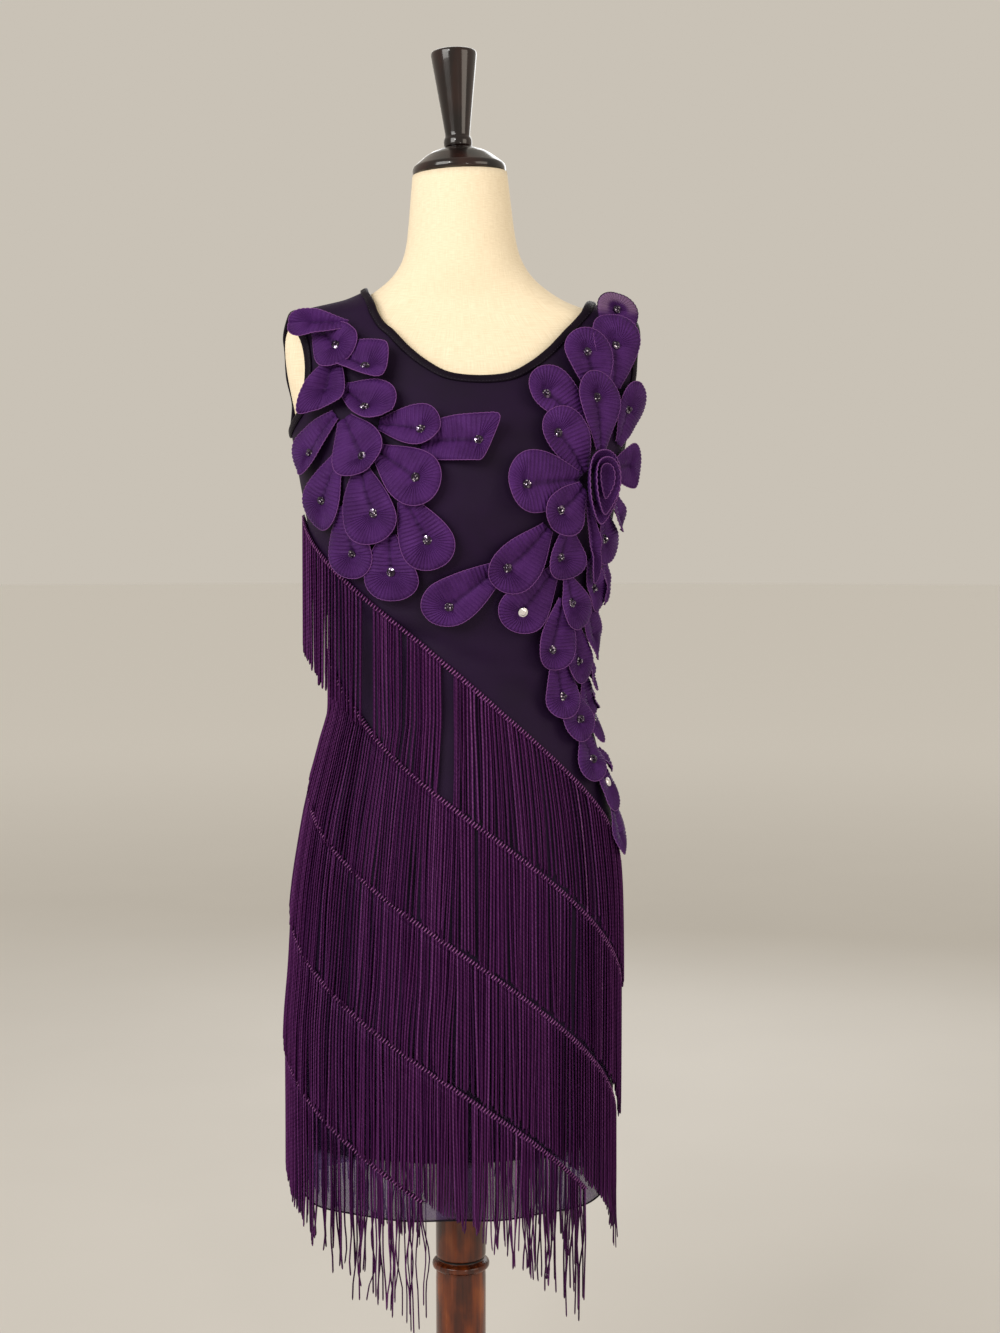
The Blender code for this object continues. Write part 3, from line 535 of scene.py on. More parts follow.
tricot = Finish("lining_tricot", Roughness=0.7, Specular_IOR_Level=0.15, Sheen_Weight=0.05)
rib = tricot.place.part("Z").wave(LINING_RIB)
tricot.feed("Base Color", rib.mix(srgb(14, 7, 20), srgb(27, 14, 36)))
tricot.bump(rib, 0.08 * MM)

turns = np.linspace(-180, 180, LINING_COLUMNS, endpoint=False)
heights = np.linspace(LINING_BOTTOM, LINING_TOP, LINING_ROWS + 1)[:, None]
rise = (heights - LINING_BOTTOM) / (LINING_TOP - LINING_BOTTOM)
folds = LINING_FOLD_DEPTH * np.sin(np.radians(turns) * LINING_FOLDS + 1.2) * (1 - rise) ** 2
sunk = LINING_FOLD_DEPTH * (1 - rise) ** 2
out = LINING_IN_BELOW + rise * (LINING_IN_ABOVE - LINING_IN_BELOW) + folds - sunk
points = skin(round_body(turns[None, :] + 0 * heights, heights + 0 * turns), out.reshape(-1))
lining = cloth_mesh("lining_tube", points, grid_faces(LINING_ROWS, LINING_COLUMNS, closed=True), tricot)
thicken(lining, LINING_WALL)
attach(lining, "root")
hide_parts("lining")

# ---------------------------------------------------------------------------------------------------
# Dress: a front and a back cut from fine stretch mesh in near-black aubergine, joined at the sides and
# shoulders. It lies close to the form, drags a little at the bust, armholes and waist, and is sheer at
# the wavy hem. The hem has a narrow rolled edge.

DRESS_OUT = 4.0 * MM
DRESS_WALL = 0.7 * MM
SEAM_HALF_GAP = 0.15 * MM
SEAM_DIP = 0.9 * MM
HEM, ARMPIT = 0.459, 1.250
SKIRT_ROWS, YOKE_ROWS = 132, 36
PANEL_COLUMNS, STRAP_COLUMNS = 100, 20
YOKE_CROWDING = 1.5
YOKE_SIDE_FADE = 4
HEM_WAVES = 5
HEM_WAVE_DEPTH = 6 * MM
HEM_WAVE_TOP = 0.530
EDGE_INSET = 1 * MM

NECK_MIDDLE = 0.019
NECK_SHOULDER = 0.112
NECK_FRONT = ((0.0, 1.301), (0.028, 1.304), (0.048, 1.314), (0.067, 1.329), (0.083, 1.346), (0.098, 1.362))
NECK_BACK = ((0.0, 1.331), (0.034, 1.334), (0.060, 1.343), (0.084, 1.357), (0.104, 1.370))
ARMHOLE_BOTTOM = 1.254
LEFT_SHOULDER, RIGHT_SHOULDER = -0.172, 0.178
LEFT_FRONT = ((-0.158, 1.272), (-0.153, 1.296), (-0.153, 1.320), (-0.160, 1.345))
LEFT_BACK = ((-0.170, 1.280), (-0.176, 1.310), (-0.178, 1.340))
RIGHT_FRONT = ((0.168, 1.275), (0.175, 1.305), (0.178, 1.335))
RIGHT_BACK = ((0.158, 1.275), (0.154, 1.298), (0.155, 1.322), (0.164, 1.346))
NECK_POINTS, ARMHOLE_POINTS = 384, 224
LOOP_FINENESS = 40
RIDGE_HEIGHTS = (1.345, 1.530, 400)
SEAM_CLEAR = 0.2 * MM

# Drag lines, in millimetres: from across and height, to across and height, half width
# and depth. A ridge has a negative depth.
FRONT_CREASES = (
    (-132, 1236, -60, 1176, 5, 1.3),
    (-124, 1180, -48, 1106, 6, 1.2),
    (-96, 1092, -20, 1072, 5, 1.4),
    (-110, 1070, 20, 1040, 7, 1.2),
    (-60, 1056, 70, 1012, 6, 1.3),
    (-12, 1040, 92, 976, 8, 1.1),
    (128, 1130, 84, 1050, 6, 1.1),
    (-16, 1196, 34, 1190, 12, 1.6),
    (-118, 1296, -92, 1250, 5, 1.0),
    (150, 1300, 118, 1262, 5, 1.0),
    (-40, 1112, 22, 1118, 6, -0.9),
    (60, 1000, 118, 958, 7, 1.0),
)
BACK_CREASES = (
    (-112, 1040, 30, 1022, 6, 1.8),
    (-60, 1006, 112, 1030, 7, 2.0),
    (-118, 990, 40, 968, 6, 1.6),
    (-20, 1060, 120, 1076, 6, 1.4),
    (-120, 1092, -20, 1070, 5, 1.2),
    (-150, 1250, -70, 1196, 6, 1.3),
    (148, 1244, 66, 1188, 6, 1.4),
    (-60, 1300, 54, 1296, 10, 1.0),
    (-84, 1150, -30, 1120, 6, 1.0),
    (90, 1130, 40, 1104, 7, 1.1),
)
# a crease bows, fades past its two ends and has a low lip on either side
CREASE_GAIN, CREASE_BOW = 1.4, 0.06
CREASE_MIDDLE, CREASE_REACH = 0.45, 0.42
CREASE_LIP, LIP_OUT = 0.35, 2.2
CREASES_ABOVE = 0.60
SEAM_COLUMNS = 1.6

NET_PITCH = 1.1 * MM
HEM_PAINTED_LIGHT_TOP = (0.512, 0.520)
LINED_ABOVE = (0.590, 0.660)


def on_face(across, height, side):
    """The surface point seen at this place from the front (side -1) or from behind (side 1)."""
    half, front, back, shift = curve(BODY, height)
    share = min(1.0, abs(across - shift) / half)
    depth = front if side < 0 else back
    return skin((across, side * depth * math.sqrt(1 - share**2), height))[0]


def on_faces(points, side, middle=0.0, way=1):
    """The surface points at these distances across from a middle, one way or the other."""
    return [on_face(middle + way * across, height, side) for across, height in points]


def on_ridge(across):
    """The top of the shoulder at this distance across."""
    heights = np.linspace(*RIDGE_HEIGHTS)
    widths = curve(BODY, heights)[:, 0]
    height = np.interp(-abs(across), -widths, heights)
    return np.array([across, 0.0, height])


def smooth_loop(points, count):
    """A closed smooth curve through the points, as count points evenly spaced along it, on the body."""
    points = np.array(points)
    fine = np.linspace(0, len(points), LOOP_FINENESS * len(points), endpoint=False)
    index = fine.astype(int)
    s = (fine - index)[:, None]
    before, first, second, after = (points[(index + k) % len(points)] for k in (-1, 0, 1, 2))
    path = 0.5 * (
        2 * first
        + (second - before) * s
        + (2 * before - 5 * first + 4 * second - after) * s**2
        + (3 * first - before - 3 * second + after) * s**3
    )
    return evenly_round(skin(path), count)


def lengths_of(path):
    """The distance along an open path at each of its points."""
    return np.concatenate([[0], np.cumsum(np.linalg.norm(np.diff(path, axis=0), axis=1))])


def along_path(path, shares):
    """The points at these shares of an open path's length."""
    lengths = lengths_of(path)
    at = np.asarray(shares) * lengths[-1]
    return np.stack([np.interp(at, lengths, path[:, axis]) for axis in range(3)], axis=1)


def evenly(path, count):
    """count points evenly spaced along an open path."""
    return along_path(path, np.linspace(0, 1, count))


def evenly_round(loop, count):
    """count points evenly spaced along a closed path."""
    return evenly(np.concatenate([loop, loop[:1]]), count + 1)[:-1]


def onward(loop):
    """The way along a closed path at each of its points."""
    return np.roll(loop, -1, axis=0) - np.roll(loop, 1, axis=0)


def yoke_shares():
    """The yoke's rows from armpit to shoulder, closer together where the shoulder turns over."""
    return 1 - (1 - np.linspace(0, 1, YOKE_ROWS + 1)) ** YOKE_CROWDING


def away_from(loop):
    """The direction on the body surface that leaves the opening, at each point of its loop."""
    return unit(np.cross(onward(loop), normals_at(loop)))


def opening(loop):
    """The loop, turned so that away_from() leads from its first point down into the cloth."""
    return loop[::-1] if away_from(loop)[0, 2] > 0 else loop


def neck_loop():
    """The neckline's edge, from the front middle to the viewer's right and round."""
    front = on_faces(NECK_FRONT, -1, NECK_MIDDLE)
    back = on_faces(NECK_BACK[::-1], 1, NECK_MIDDLE)
    left_back = on_faces(NECK_BACK[1:], 1, NECK_MIDDLE, -1)
    left_front = on_faces(NECK_FRONT[:0:-1], -1, NECK_MIDDLE, -1)
    right_top = on_ridge(NECK_MIDDLE + NECK_SHOULDER)
    left_top = on_ridge(NECK_MIDDLE - NECK_SHOULDER)
    return smooth_loop([*front, right_top, *back, *left_back, left_top, *left_front], NECK_POINTS)


def armhole_loop(bottom_turn, front, back, shoulder):
    """An armhole's edge, from its bottom up the front, over the shoulder and down the back."""
    bottom = body(bottom_turn, ARMHOLE_BOTTOM, -1)
    rising, falling = on_faces(front, -1), on_faces(back[::-1], 1)
    return smooth_loop([bottom, *rising, on_ridge(shoulder), *falling], ARMHOLE_POINTS)


def half_of(loop, side):
    """The part of a closed loop on one side of the side seams, as an open path that ends on them."""
    inside = loop[:, 1] * side > SEAM_CLEAR
    start = int(np.flatnonzero(inside & ~np.roll(inside, 1))[0])
    return np.roll(loop, -start, axis=0)[: int(inside.sum())]


def on_seam(path, side):
    """The path with its two ends moved onto the panel's seams."""
    path = path.copy()
    path[[0, -1], 1] = side * SEAM_HALF_GAP
    return path


def rising_edge(hole, side):
    """The armhole's edge on one side, from the side seam up to the shoulder seam."""
    path = half_of(hole, side)
    if path[0, 2] > path[-1, 2]:
        path = path[::-1]
    return on_seam(along_path(path, yoke_shares()), side)


def hem_wave(turn, height):
    """How far the free hem curves inward at each turn, no two waves quite alike."""
    fade = np.clip((HEM_WAVE_TOP - height) / (HEM_WAVE_TOP - HEM), 0, 1) ** 2
    phase = np.radians(turn + 90) * 2 * HEM_WAVES
    uneven = 0.75 + 0.25 * np.sin(phase * 0.37 + 1.1)
    return -HEM_WAVE_DEPTH * fade * uneven * (1 - np.cos(phase)) / 2


def bell(distance, half):
    """1 in the middle, falling away smoothly on either side."""
    return np.exp(-((distance / half) ** 2))


def pulled(points, creases):
    """How far the drag lines press each point in."""
    flat = points[:, [0, 2]] / MM
    total = np.zeros(len(points))
    for across, height, to_across, to_height, half_width, depth in creases:
        start, end = np.array([across, height]), np.array([to_across, to_height])
        axis = end - start
        length = np.linalg.norm(axis)
        axis = axis / length
        along = (flat - start) @ axis
        bow = CREASE_BOW * length * np.sin(np.clip(along / length, 0, 1) * math.pi)
        beside = (flat - start) @ np.array([-axis[1], axis[0]]) + bow
        ends = np.exp(-(((along / length - CREASE_MIDDLE) / CREASE_REACH) ** 4))
        trough = bell(beside, half_width)
        lip = CREASE_LIP * bell(np.abs(beside) - LIP_OUT * half_width, half_width)
        total += CREASE_GAIN * depth * MM * ends * (trough - lip)
    return total


def panel_points(side, edges):
    """A front or back panel's grid: level rows up to the armpits, then a yoke between the openings."""
    neck, left_hole, right_hole = edges
    turns = np.linspace(-90, 90, PANEL_COLUMNS + 1)
    heights = np.linspace(HEM, ARMPIT, SKIRT_ROWS + 1)[:, None]
    skirt = body(turns[None, :], heights, side)
    skirt[:, [0, -1], 1] = side * SEAM_HALF_GAP
    waves = hem_wave(turns[None, :], heights)

    left = rising_edge(left_hole, side)
    right = rising_edge(right_hole, side)
    left[0], right[0] = skirt[-1, 0], skirt[-1, -1]
    scoop = half_of(neck, side)
    if scoop[0, 0] > scoop[-1, 0]:
        scoop = scoop[::-1]
    scoop = on_seam(evenly(scoop, PANEL_COLUMNS - 2 * STRAP_COLUMNS + 1), side)
    left_strap = np.linspace(left[-1], scoop[0], STRAP_COLUMNS + 1)
    right_strap = np.linspace(scoop[-1], right[-1], STRAP_COLUMNS + 1)
    top = np.concatenate([left_strap[:-1], scoop, right_strap[1:]])

    u = np.linspace(0, 1, PANEL_COLUMNS + 1)[None, :, None]
    v = yoke_shares()[:, None, None]
    bottom = skirt[-1]
    # the armholes bend the yoke's rows only near the sides, so that its middle still rises row by row
    left_pull = left[:, None] - (1 - v) * bottom[0] - v * top[0]
    right_pull = right[:, None] - (1 - v) * bottom[-1] - v * top[-1]
    yoke = (
        (1 - v) * bottom[None]
        + v * top[None]
        + (1 - u) ** YOKE_SIDE_FADE * left_pull
        + u**YOKE_SIDE_FADE * right_pull
    )
    yoke[:, :, 1] = side * np.maximum(side * yoke[:, :, 1], SEAM_HALF_GAP)
    waves = np.concatenate([waves, np.zeros((YOKE_ROWS, PANEL_COLUMNS + 1))])
    return np.concatenate([skirt, yoke[1:]]), waves


def dress_panel(name, side, edges, creases, finish):
    """One panel as a thin shell on the body, with its drag lines, hem waves and seams, and its hem's line."""
    points, waves = panel_points(side, edges)
    rows, columns = points.shape[:2]
    on_body = skin(points.reshape(-1, 3))
    from_seam = np.minimum(np.arange(columns), np.arange(columns)[::-1])
    dip = np.tile(SEAM_DIP * bell(from_seam, SEAM_COLUMNS), rows)
    creased = (on_body[:, 2] > CREASES_ABOVE) * 1.0
    out = DRESS_OUT + waves.reshape(-1) - dip - creased * pulled(on_body, creases)
    outside = skin(on_body, out)
    u = np.repeat(lengths_of(on_body.reshape(rows, columns, 3)[rows // 3])[None], rows, axis=0)
    v = on_body[:, 2]
    faces = grid_faces(rows - 1, columns - 1)
    if side > 0:
        faces = faces[:, ::-1]
    panel = cloth_mesh(name, outside, faces, finish, uv=np.stack([u.reshape(-1), v], axis=1))
    thicken(panel, DRESS_WALL)
    return panel, outside[:columns]


MESH_SHEEN = {"Sheen_Weight": 0.05, "Sheen_Roughness": 0.4, "Sheen_Tint": srgb(120, 90, 160)}
mesh_cloth = Finish("aubergine_mesh", Specular_IOR_Level=0.14, **MESH_SHEEN)
across_net = mesh_cloth.uv.part("X") * (2 * math.pi / NET_PITCH)
up_net = mesh_cloth.uv.part("Y") * (2 * math.pi / NET_PITCH)
net = (across_net.sine() * up_net.sine()) * 0.5 + 0.5
uneven_dye = mesh_cloth.place.noise(60 * MM, 3.0)
ground = net.mix(srgb(20, 5, 30), srgb(37, 14, 51))
mesh_height = mesh_cloth.place.part("Z")
# the light comes through the net below the lining
lined = mesh_height.ramp(*LINED_ABOVE)
dyed = uneven_dye.ramp(0.3, 0.8).mix(ground, srgb(24, 10, 33))
# painted light: below the lining's edge the net is painted paler, for the light shining through the sheer hem
mesh_cloth.feed("Base Color", mesh_height.ramp(*HEM_PAINTED_LIGHT_TOP).mix(srgb(78, 56, 100), dyed))
mesh_cloth.feed("Roughness", 0.55 + 0.2 * net)
mesh_cloth.feed("Alpha", lined + (1 - lined) * (0.44 + 0.26 * net.ramp(0.25, 0.6)))
mesh_cloth.bump(net, 0.10 * MM, 0.6)

neck = opening(neck_loop())
left_hole = opening(armhole_loop(-90, LEFT_FRONT, LEFT_BACK, LEFT_SHOULDER))
right_hole = opening(armhole_loop(90, RIGHT_FRONT, RIGHT_BACK, RIGHT_SHOULDER))
edges = [skin(loop + EDGE_INSET * away_from(loop)) for loop in (neck, left_hole, right_hole)]
dress_front, front_hem = dress_panel("dress_front_panel", -1, edges, FRONT_CREASES, mesh_cloth)
dress_back, back_hem = dress_panel("dress_back_panel", 1, edges, BACK_CREASES, mesh_cloth)
for piece, node in ((dress_front, "dress_front"), (dress_back, "dress_back")):
    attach(piece, "root")
    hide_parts(node)


def tube(path, radius, sides, closed=False):
    """Points and faces of a tube along a path, its ring set across the path at each point."""
    path = np.asarray(path, float)
    along = unit(onward(path) if closed else np.gradient(path, axis=0))
    from_pole = path * (1, 1, 0) + (0, 0, 1e-9)
    aside = unit(np.cross(along, from_pole))
    normal = np.cross(aside, along)
    turn = np.linspace(0, 2 * math.pi, sides, endpoint=False)
    ring = np.cos(turn)[:, None] * aside[:, None] + np.sin(turn)[:, None] * normal[:, None]
    points = path[:, None] + radius * ring
    count = len(path)
    faces = grid_faces(count if closed else count - 1, sides, closed=True, looped=closed)
    return points.reshape(-1, 3), faces


ROLL_RADIUS = 0.9 * MM
ROLL_DROP = 0.3 * MM
HEM_POINTS = 400
hem_path = evenly_round(np.concatenate([front_hem, back_hem[::-1]]), HEM_POINTS)
hem_points, hem_faces = tube(hem_path - (0, 0, ROLL_DROP), ROLL_RADIUS, 6, closed=True)
rolled = Finish("rolled_edge", Roughness=0.65, Specular_IOR_Level=0.2)
rolled.feed("Base Color", rolled.place.noise(2 * MM, 1.0).mix(srgb(10, 5, 14), srgb(24, 12, 30)))
rolled.bump(rolled.place.noise(0.8 * MM, 1.0), 0.2 * MM)
hem_roll = cloth_mesh("hem_roll", hem_points, hem_faces, rolled)
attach(hem_roll, "root")

# ---------------------------------------------------------------------------------------------------
# Bindings: bias strips of dull satin tricot folded over the neckline and both armholes, 8 mm wide, and
# topstitched close to their inner fold.

# The folded strip's section: millimetres from the opening's edge into the cloth, and out from the body.
BINDING_SECTION = (
    (8.0, 4.4), (8.1, 5.4), (7.4, 6.1), (5.6, 6.5), (3.4, 6.6), (1.4, 6.4), (0.1, 5.7), (-0.5, 4.4),
    (-0.2, 3.0), (0.9, 2.1), (1.8, 2.6), (1.4, 3.6), (1.8, 4.4),
)
BINDING_WANDER, WANDER_PITCH = 0.25 * MM, 23 * MM
WANDER_FROM = 4
BIAS_PITCH = 0.8 * MM
STITCH_PITCH = 3.2 * MM
STITCH_LENGTH = 2.2 * MM
STITCH_IN, STITCH_OUT = 6.6 * MM, 6.4 * MM
STITCH_CORNERS = ((-1, 0, 0), (0, -0.22, 0), (0, 0, 0.26), (0, 0.22, 0), (0, 0, -0.2), (1, 0, 0))
STITCH_FACES = ((0, 2, 1), (0, 3, 2), (0, 4, 3), (0, 1, 4), (5, 1, 2), (5, 2, 3), (5, 3, 4), (5, 4, 1))

satin = Finish("binding_satin", Roughness=0.45, Specular_IOR_Level=0.09)
bias = (satin.uv.part("X") + satin.uv.part("Y")).wave(BIAS_PITCH)
shade = satin.place.noise(18 * MM, 2.0)
satin.feed("Base Color", (bias * 0.5 + shade * 0.5).mix(srgb(8, 3, 11), srgb(22, 11, 28)))
satin.bump(bias * 0.4 + satin.uv.noise(4 * MM, 2.0) * 0.8, 0.25 * MM, 0.6)


def binding(name, loop, count):
    """A strip folded over an opening's edge, a little uneven in width."""
    loop = evenly_round(loop, count)
    away = away_from(loop)
    lengths = lengths_of(loop)
    points, uv = [], []
    for distance, out in BINDING_SECTION:
        wander = BINDING_WANDER * np.sin(lengths / WANDER_PITCH) * (distance > WANDER_FROM)
        points.append(skin(loop + (distance * MM + wander)[:, None] * away, out * MM))
        uv.append(np.stack([lengths, np.full(count, distance * MM)], axis=1))
    faces = grid_faces(len(BINDING_SECTION), count, closed=True, looped=True)
    piece = cloth_mesh(name, np.concatenate(points), faces, satin, uv=np.concatenate(uv))
    outward(piece)
    return piece


def outward(piece):
    """Turns a closed piece's faces outward."""
    with reworked(piece) as made:
        bmesh.ops.recalc_face_normals(made, faces=made.faces)


def stitches(name, loops, finish):
    """Small raised stitches along the bindings, all in one mesh."""
    points, faces = [], []
    corners = np.array(STITCH_CORNERS)
    for loop in loops:
        line = evenly_round(loop, int(lengths_of(loop)[-1] / STITCH_PITCH))
        line = skin(line + STITCH_IN * away_from(line), STITCH_OUT)
        along = unit(onward(line))
        normal = normals_at(line)
        aside = np.cross(normal, along)
        size = STITCH_LENGTH / 2
        for middle, x, y, z in zip(line, along, aside, normal):
            faces += [[index + len(points) for index in face] for face in STITCH_FACES]
            points += list(middle + size * (corners @ np.stack([x, y, z])))
    piece = cloth_mesh(name, points, faces, finish)
    outward(piece)
    return piece


neck_binding = binding("neck_binding_strip", neck, 300)
left_binding = binding("armhole_binding_left_strip", left_hole, 170)
right_binding = binding("armhole_binding_right_strip", right_hole, 170)
thread = Finish("binding_thread", Roughness=0.5)
thread.feed("Base Color", thread.place.noise(4 * MM, 1.0).mix(srgb(26, 17, 36), srgb(52, 38, 66)))
topstitching = stitches("binding_topstitching", (neck, left_hole, right_hole), thread)
for piece, node in (
    (neck_binding, "neck_binding"),
    (left_binding, "armhole_binding_left"),
    (right_binding, "armhole_binding_right"),
):
    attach(piece, "root")
    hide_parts(node)
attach(topstitching, "root")

# ---------------------------------------------------------------------------------------------------
# Fringe: five rows of plum rayon chainette fringe wind round the dress and down toward the viewer's
# right. Each row is a coiled header braid with single strands hanging from it to just above the next
# braid, and those of the last rows hang free below the hem.

ROW_HEIGHTS = (1.005, 0.8685, 0.732, 0.5955, 0.459)
ROW_RISE, ROW_SAG = 0.183, 0.022
ROW_TURNS = (180.0, 180.0, 180.0, 145.0, 80.0)
ROW_POINTS = 2400
HEADER_HALF = 2.6 * MM
HEADER_MIDDLE = 6.9 * MM
HEADER_DEPTH = 1.1 * MM
TAPE_HALF, TAPE_IN, TAPE_OUT = 2.0 * MM, 5.5 * MM, 6.3 * MM
TAPE_PAINTED_SHADE, TAPE_STEP = 0.05, 4
UNEVEN_PITCH = 31 * MM
COIL_PITCH = 3.4 * MM
COIL_POINTS = 10
COIL_RADIUS, COIL_SIDES, COIL_LEAN = 0.62 * MM, 4, 0.9 * MM
COIL_TONE, COIL_PAINTED_LIGHT_SWING = 0.66, 0.30
STRAND_PITCH = 1.72 * MM
STRAND_LENGTH = 0.1325
STRAND_RADIUS = 1.02 * MM
STRAND_POINTS = 12
STRAND_SIDES = 4
STRAND_TAPER, STRAND_END = 0.22, 0.45
STRAND_FLARE = 1.8 * MM
LAYERS_OUT = (5.9 * MM, 7.7 * MM)
SHED = 0.24
SHORT_STRANDS, SHORT_BY = 0.05, 6 * MM
SHORT_FREE_STRANDS, FREE_SHORT_BY = 0.20, 14 * MM
FREE_FROM, FREE_WITHIN = 10 * MM, 30 * MM
LOOSE_FROM, LOOSE_WITHIN = 10 * MM, 80 * MM
STRAND_START = 0.5 * MM
STRAND_TONE_AND_LAYER_SHADE, TONE_LIMITS = (0.40, 0.12), (0.05, 0.84)
# how much strands differ from one another
PLACE_SPREAD, LAYER_SPREAD = 0.25 * MM, 0.22 * MM
LENGTH_SPREAD, FREE_LENGTH_SPREAD = 1.6 * MM, 7 * MM
RADIUS_SPREAD, TONE_SPREAD = 0.06, 0.11
WAVE, SWING, CURL, SWING_IN = 0.35 * MM, 3.2 * MM, 2.2 * MM, 2.5 * MM
# how far strands stray: one by one, in two lengths of clump, and in bunches below the hem
STRAY = 0.7
CLUMPS = ((1.5, 6.1 * MM, 1), (1.1, 2.7 * MM, 2))
BUNCH, BUNCH_PITCH = 2.3 * MM, 2.5 * MM

# Places where strands are missing or pushed aside: row, turn round the body, width in millimetres.
GAPS = (
    (0, 50.5, 9), (0, 66.0, 5), (0, 84.5, 10), (0, 97.0, 3), (1, 96.0, 3), (1, 133.0, 4),
    (2, 104.0, 3), (3, 96.0, 3), (4, 52.0, 4),
    (0, -60.0, 7), (0, -104.0, 5), (1, -80.0, 4), (1, -122.0, 6), (2, -66.0, 5), (3, -90.0, 4),
    (4, -46.0, 4),
)


def row_height(row, around):
    """A fringe row's height, where around runs from 0 at the left seam to 180 at the right seam."""
    t = np.abs(around) / 90 - 1
    return ROW_HEIGHTS[row] - ROW_RISE * t - ROW_SAG * t**2


def row_turns(row):
    """The turns along a row's own line, from behind the viewer's right and round the front."""
    return np.linspace(-ROW_TURNS[row], ROW_TURNS[row], ROW_POINTS)


def header(row, finish):
    """The braid: a flat tape under one long coil of cord."""
    around = row_turns(row)
    path = skin(round_body(around, row_height(row, around)), HEADER_MIDDLE)
    lengths = lengths_of(path)
    loops = int(lengths[-1] / COIL_PITCH)
    at = np.linspace(0, lengths[-1], loops * COIL_POINTS + 1)
    middle = along_path(path, at / lengths[-1])
    along = unit(np.gradient(middle, axis=0))
    normal = normals_at(middle)
    upward = np.cross(normal, along)
    upward *= np.sign(upward[:, 2])[:, None]
    phase = np.arange(len(at)) * 2 * math.pi / COIL_POINTS
    uneven = 1 + 0.10 * np.sin(at / UNEVEN_PITCH) + 0.06 * np.sin(at / (7 * MM))
    line = (
        middle
        + (HEADER_HALF * uneven * np.cos(phase))[:, None] * upward
        + (HEADER_DEPTH * np.sin(phase))[:, None] * normal
        + (COIL_LEAN * np.cos(phase))[:, None] * along
    )
    points, faces = tube(line, COIL_RADIUS, COIL_SIDES)
    # painted light and shade: each loop is painted lighter where it stands out and darker where it turns in
    # under
    tone_and_painted_light = np.repeat(COIL_TONE + COIL_PAINTED_LIGHT_SWING * np.sin(phase), COIL_SIDES)
    tape = []
    strip = slice(0, len(at), TAPE_STEP)
    for rise, out in ((1, TAPE_IN), (1, TAPE_OUT), (-1, TAPE_OUT), (-1, TAPE_IN)):
        tape.append(skin(middle[strip] + rise * TAPE_HALF * upward[strip], out))
    count = len(tape[0])
    tape_faces = grid_faces(len(tape), count - 1, looped=True) + len(points)
    points = np.concatenate([points, *tape])
    faces = np.concatenate([faces, tape_faces])
    # painted shade: the tape under the coil takes a tone near the darkest
    tone_and_painted_light = np.concatenate([tone_and_painted_light, np.full(len(tape) * count, TAPE_PAINTED_SHADE)])
    piece = cloth_mesh(f"fringe_header_{row + 1}", points, faces, finish, tone_and_painted_light=tone_and_painted_light)
    outward(piece)
    return piece


def strand_places(row, rng):
    """Each strand's distance across the row, its turn round the body and how far it hangs free."""
    around = row_turns(row)
    # strands are set by the distance across them, so the pitch grows with the row's slope
    level_path = round_body(around, np.full(around.shape, ROW_HEIGHTS[row]))
    across = lengths_of(level_path)
    count = int(across[-1] / STRAND_PITCH)
    at = (np.arange(count) + 0.5) * across[-1] / count
    at += rng.normal(0, PLACE_SPREAD, count)
    turn = np.interp(at, across, around)
    keep = np.ones(count, bool)
    for gap_row, gap_turn, width in GAPS:
        if gap_row == row:
            keep &= np.abs(at - np.interp(gap_turn, around, across)) > width * MM / 2
    # below the hem the fringe hangs thinner, as strands there have been shed
    free = np.clip((HEM + STRAND_LENGTH - FREE_FROM - row_height(row, turn)) / FREE_WITHIN, 0, 1)
    keep &= rng.random(count) > SHED * free
    return at[keep], turn[keep], free[keep]


def strand_sway(row, at, share, below, rng):
    """How far along the row each point strays. Strands lean together in clumps, more so toward their
    ends, and swing, curl and bunch where they hang free."""
    count = len(at)
    clump = rng.normal(0, STRAY, count)
    for size, pitch, lag in CLUMPS:
        clump += size * np.sin(at / pitch + lag * row)
    lean = clump[:, None] * MM * share**1.5
    size, phase = rng.normal(0, WAVE, (count, 1)), 6 * rng.random((count, 1))
    wave = size * np.sin(5 * share + phase)
    swing = rng.normal(0, SWING, (count, 1)) * below
    size, phase = rng.normal(0, CURL, (count, 1)), 6 * rng.random((count, 1))
    curl = size * np.sin(6 * below + phase) * below
    bunched = np.sin(at / BUNCH_PITCH + 2.4 * np.sin(at / UNEVEN_PITCH))
    bunch = BUNCH * bunched[:, None] * np.clip(2 * below, 0, 1)
    return lean + wave + swing + curl - bunch


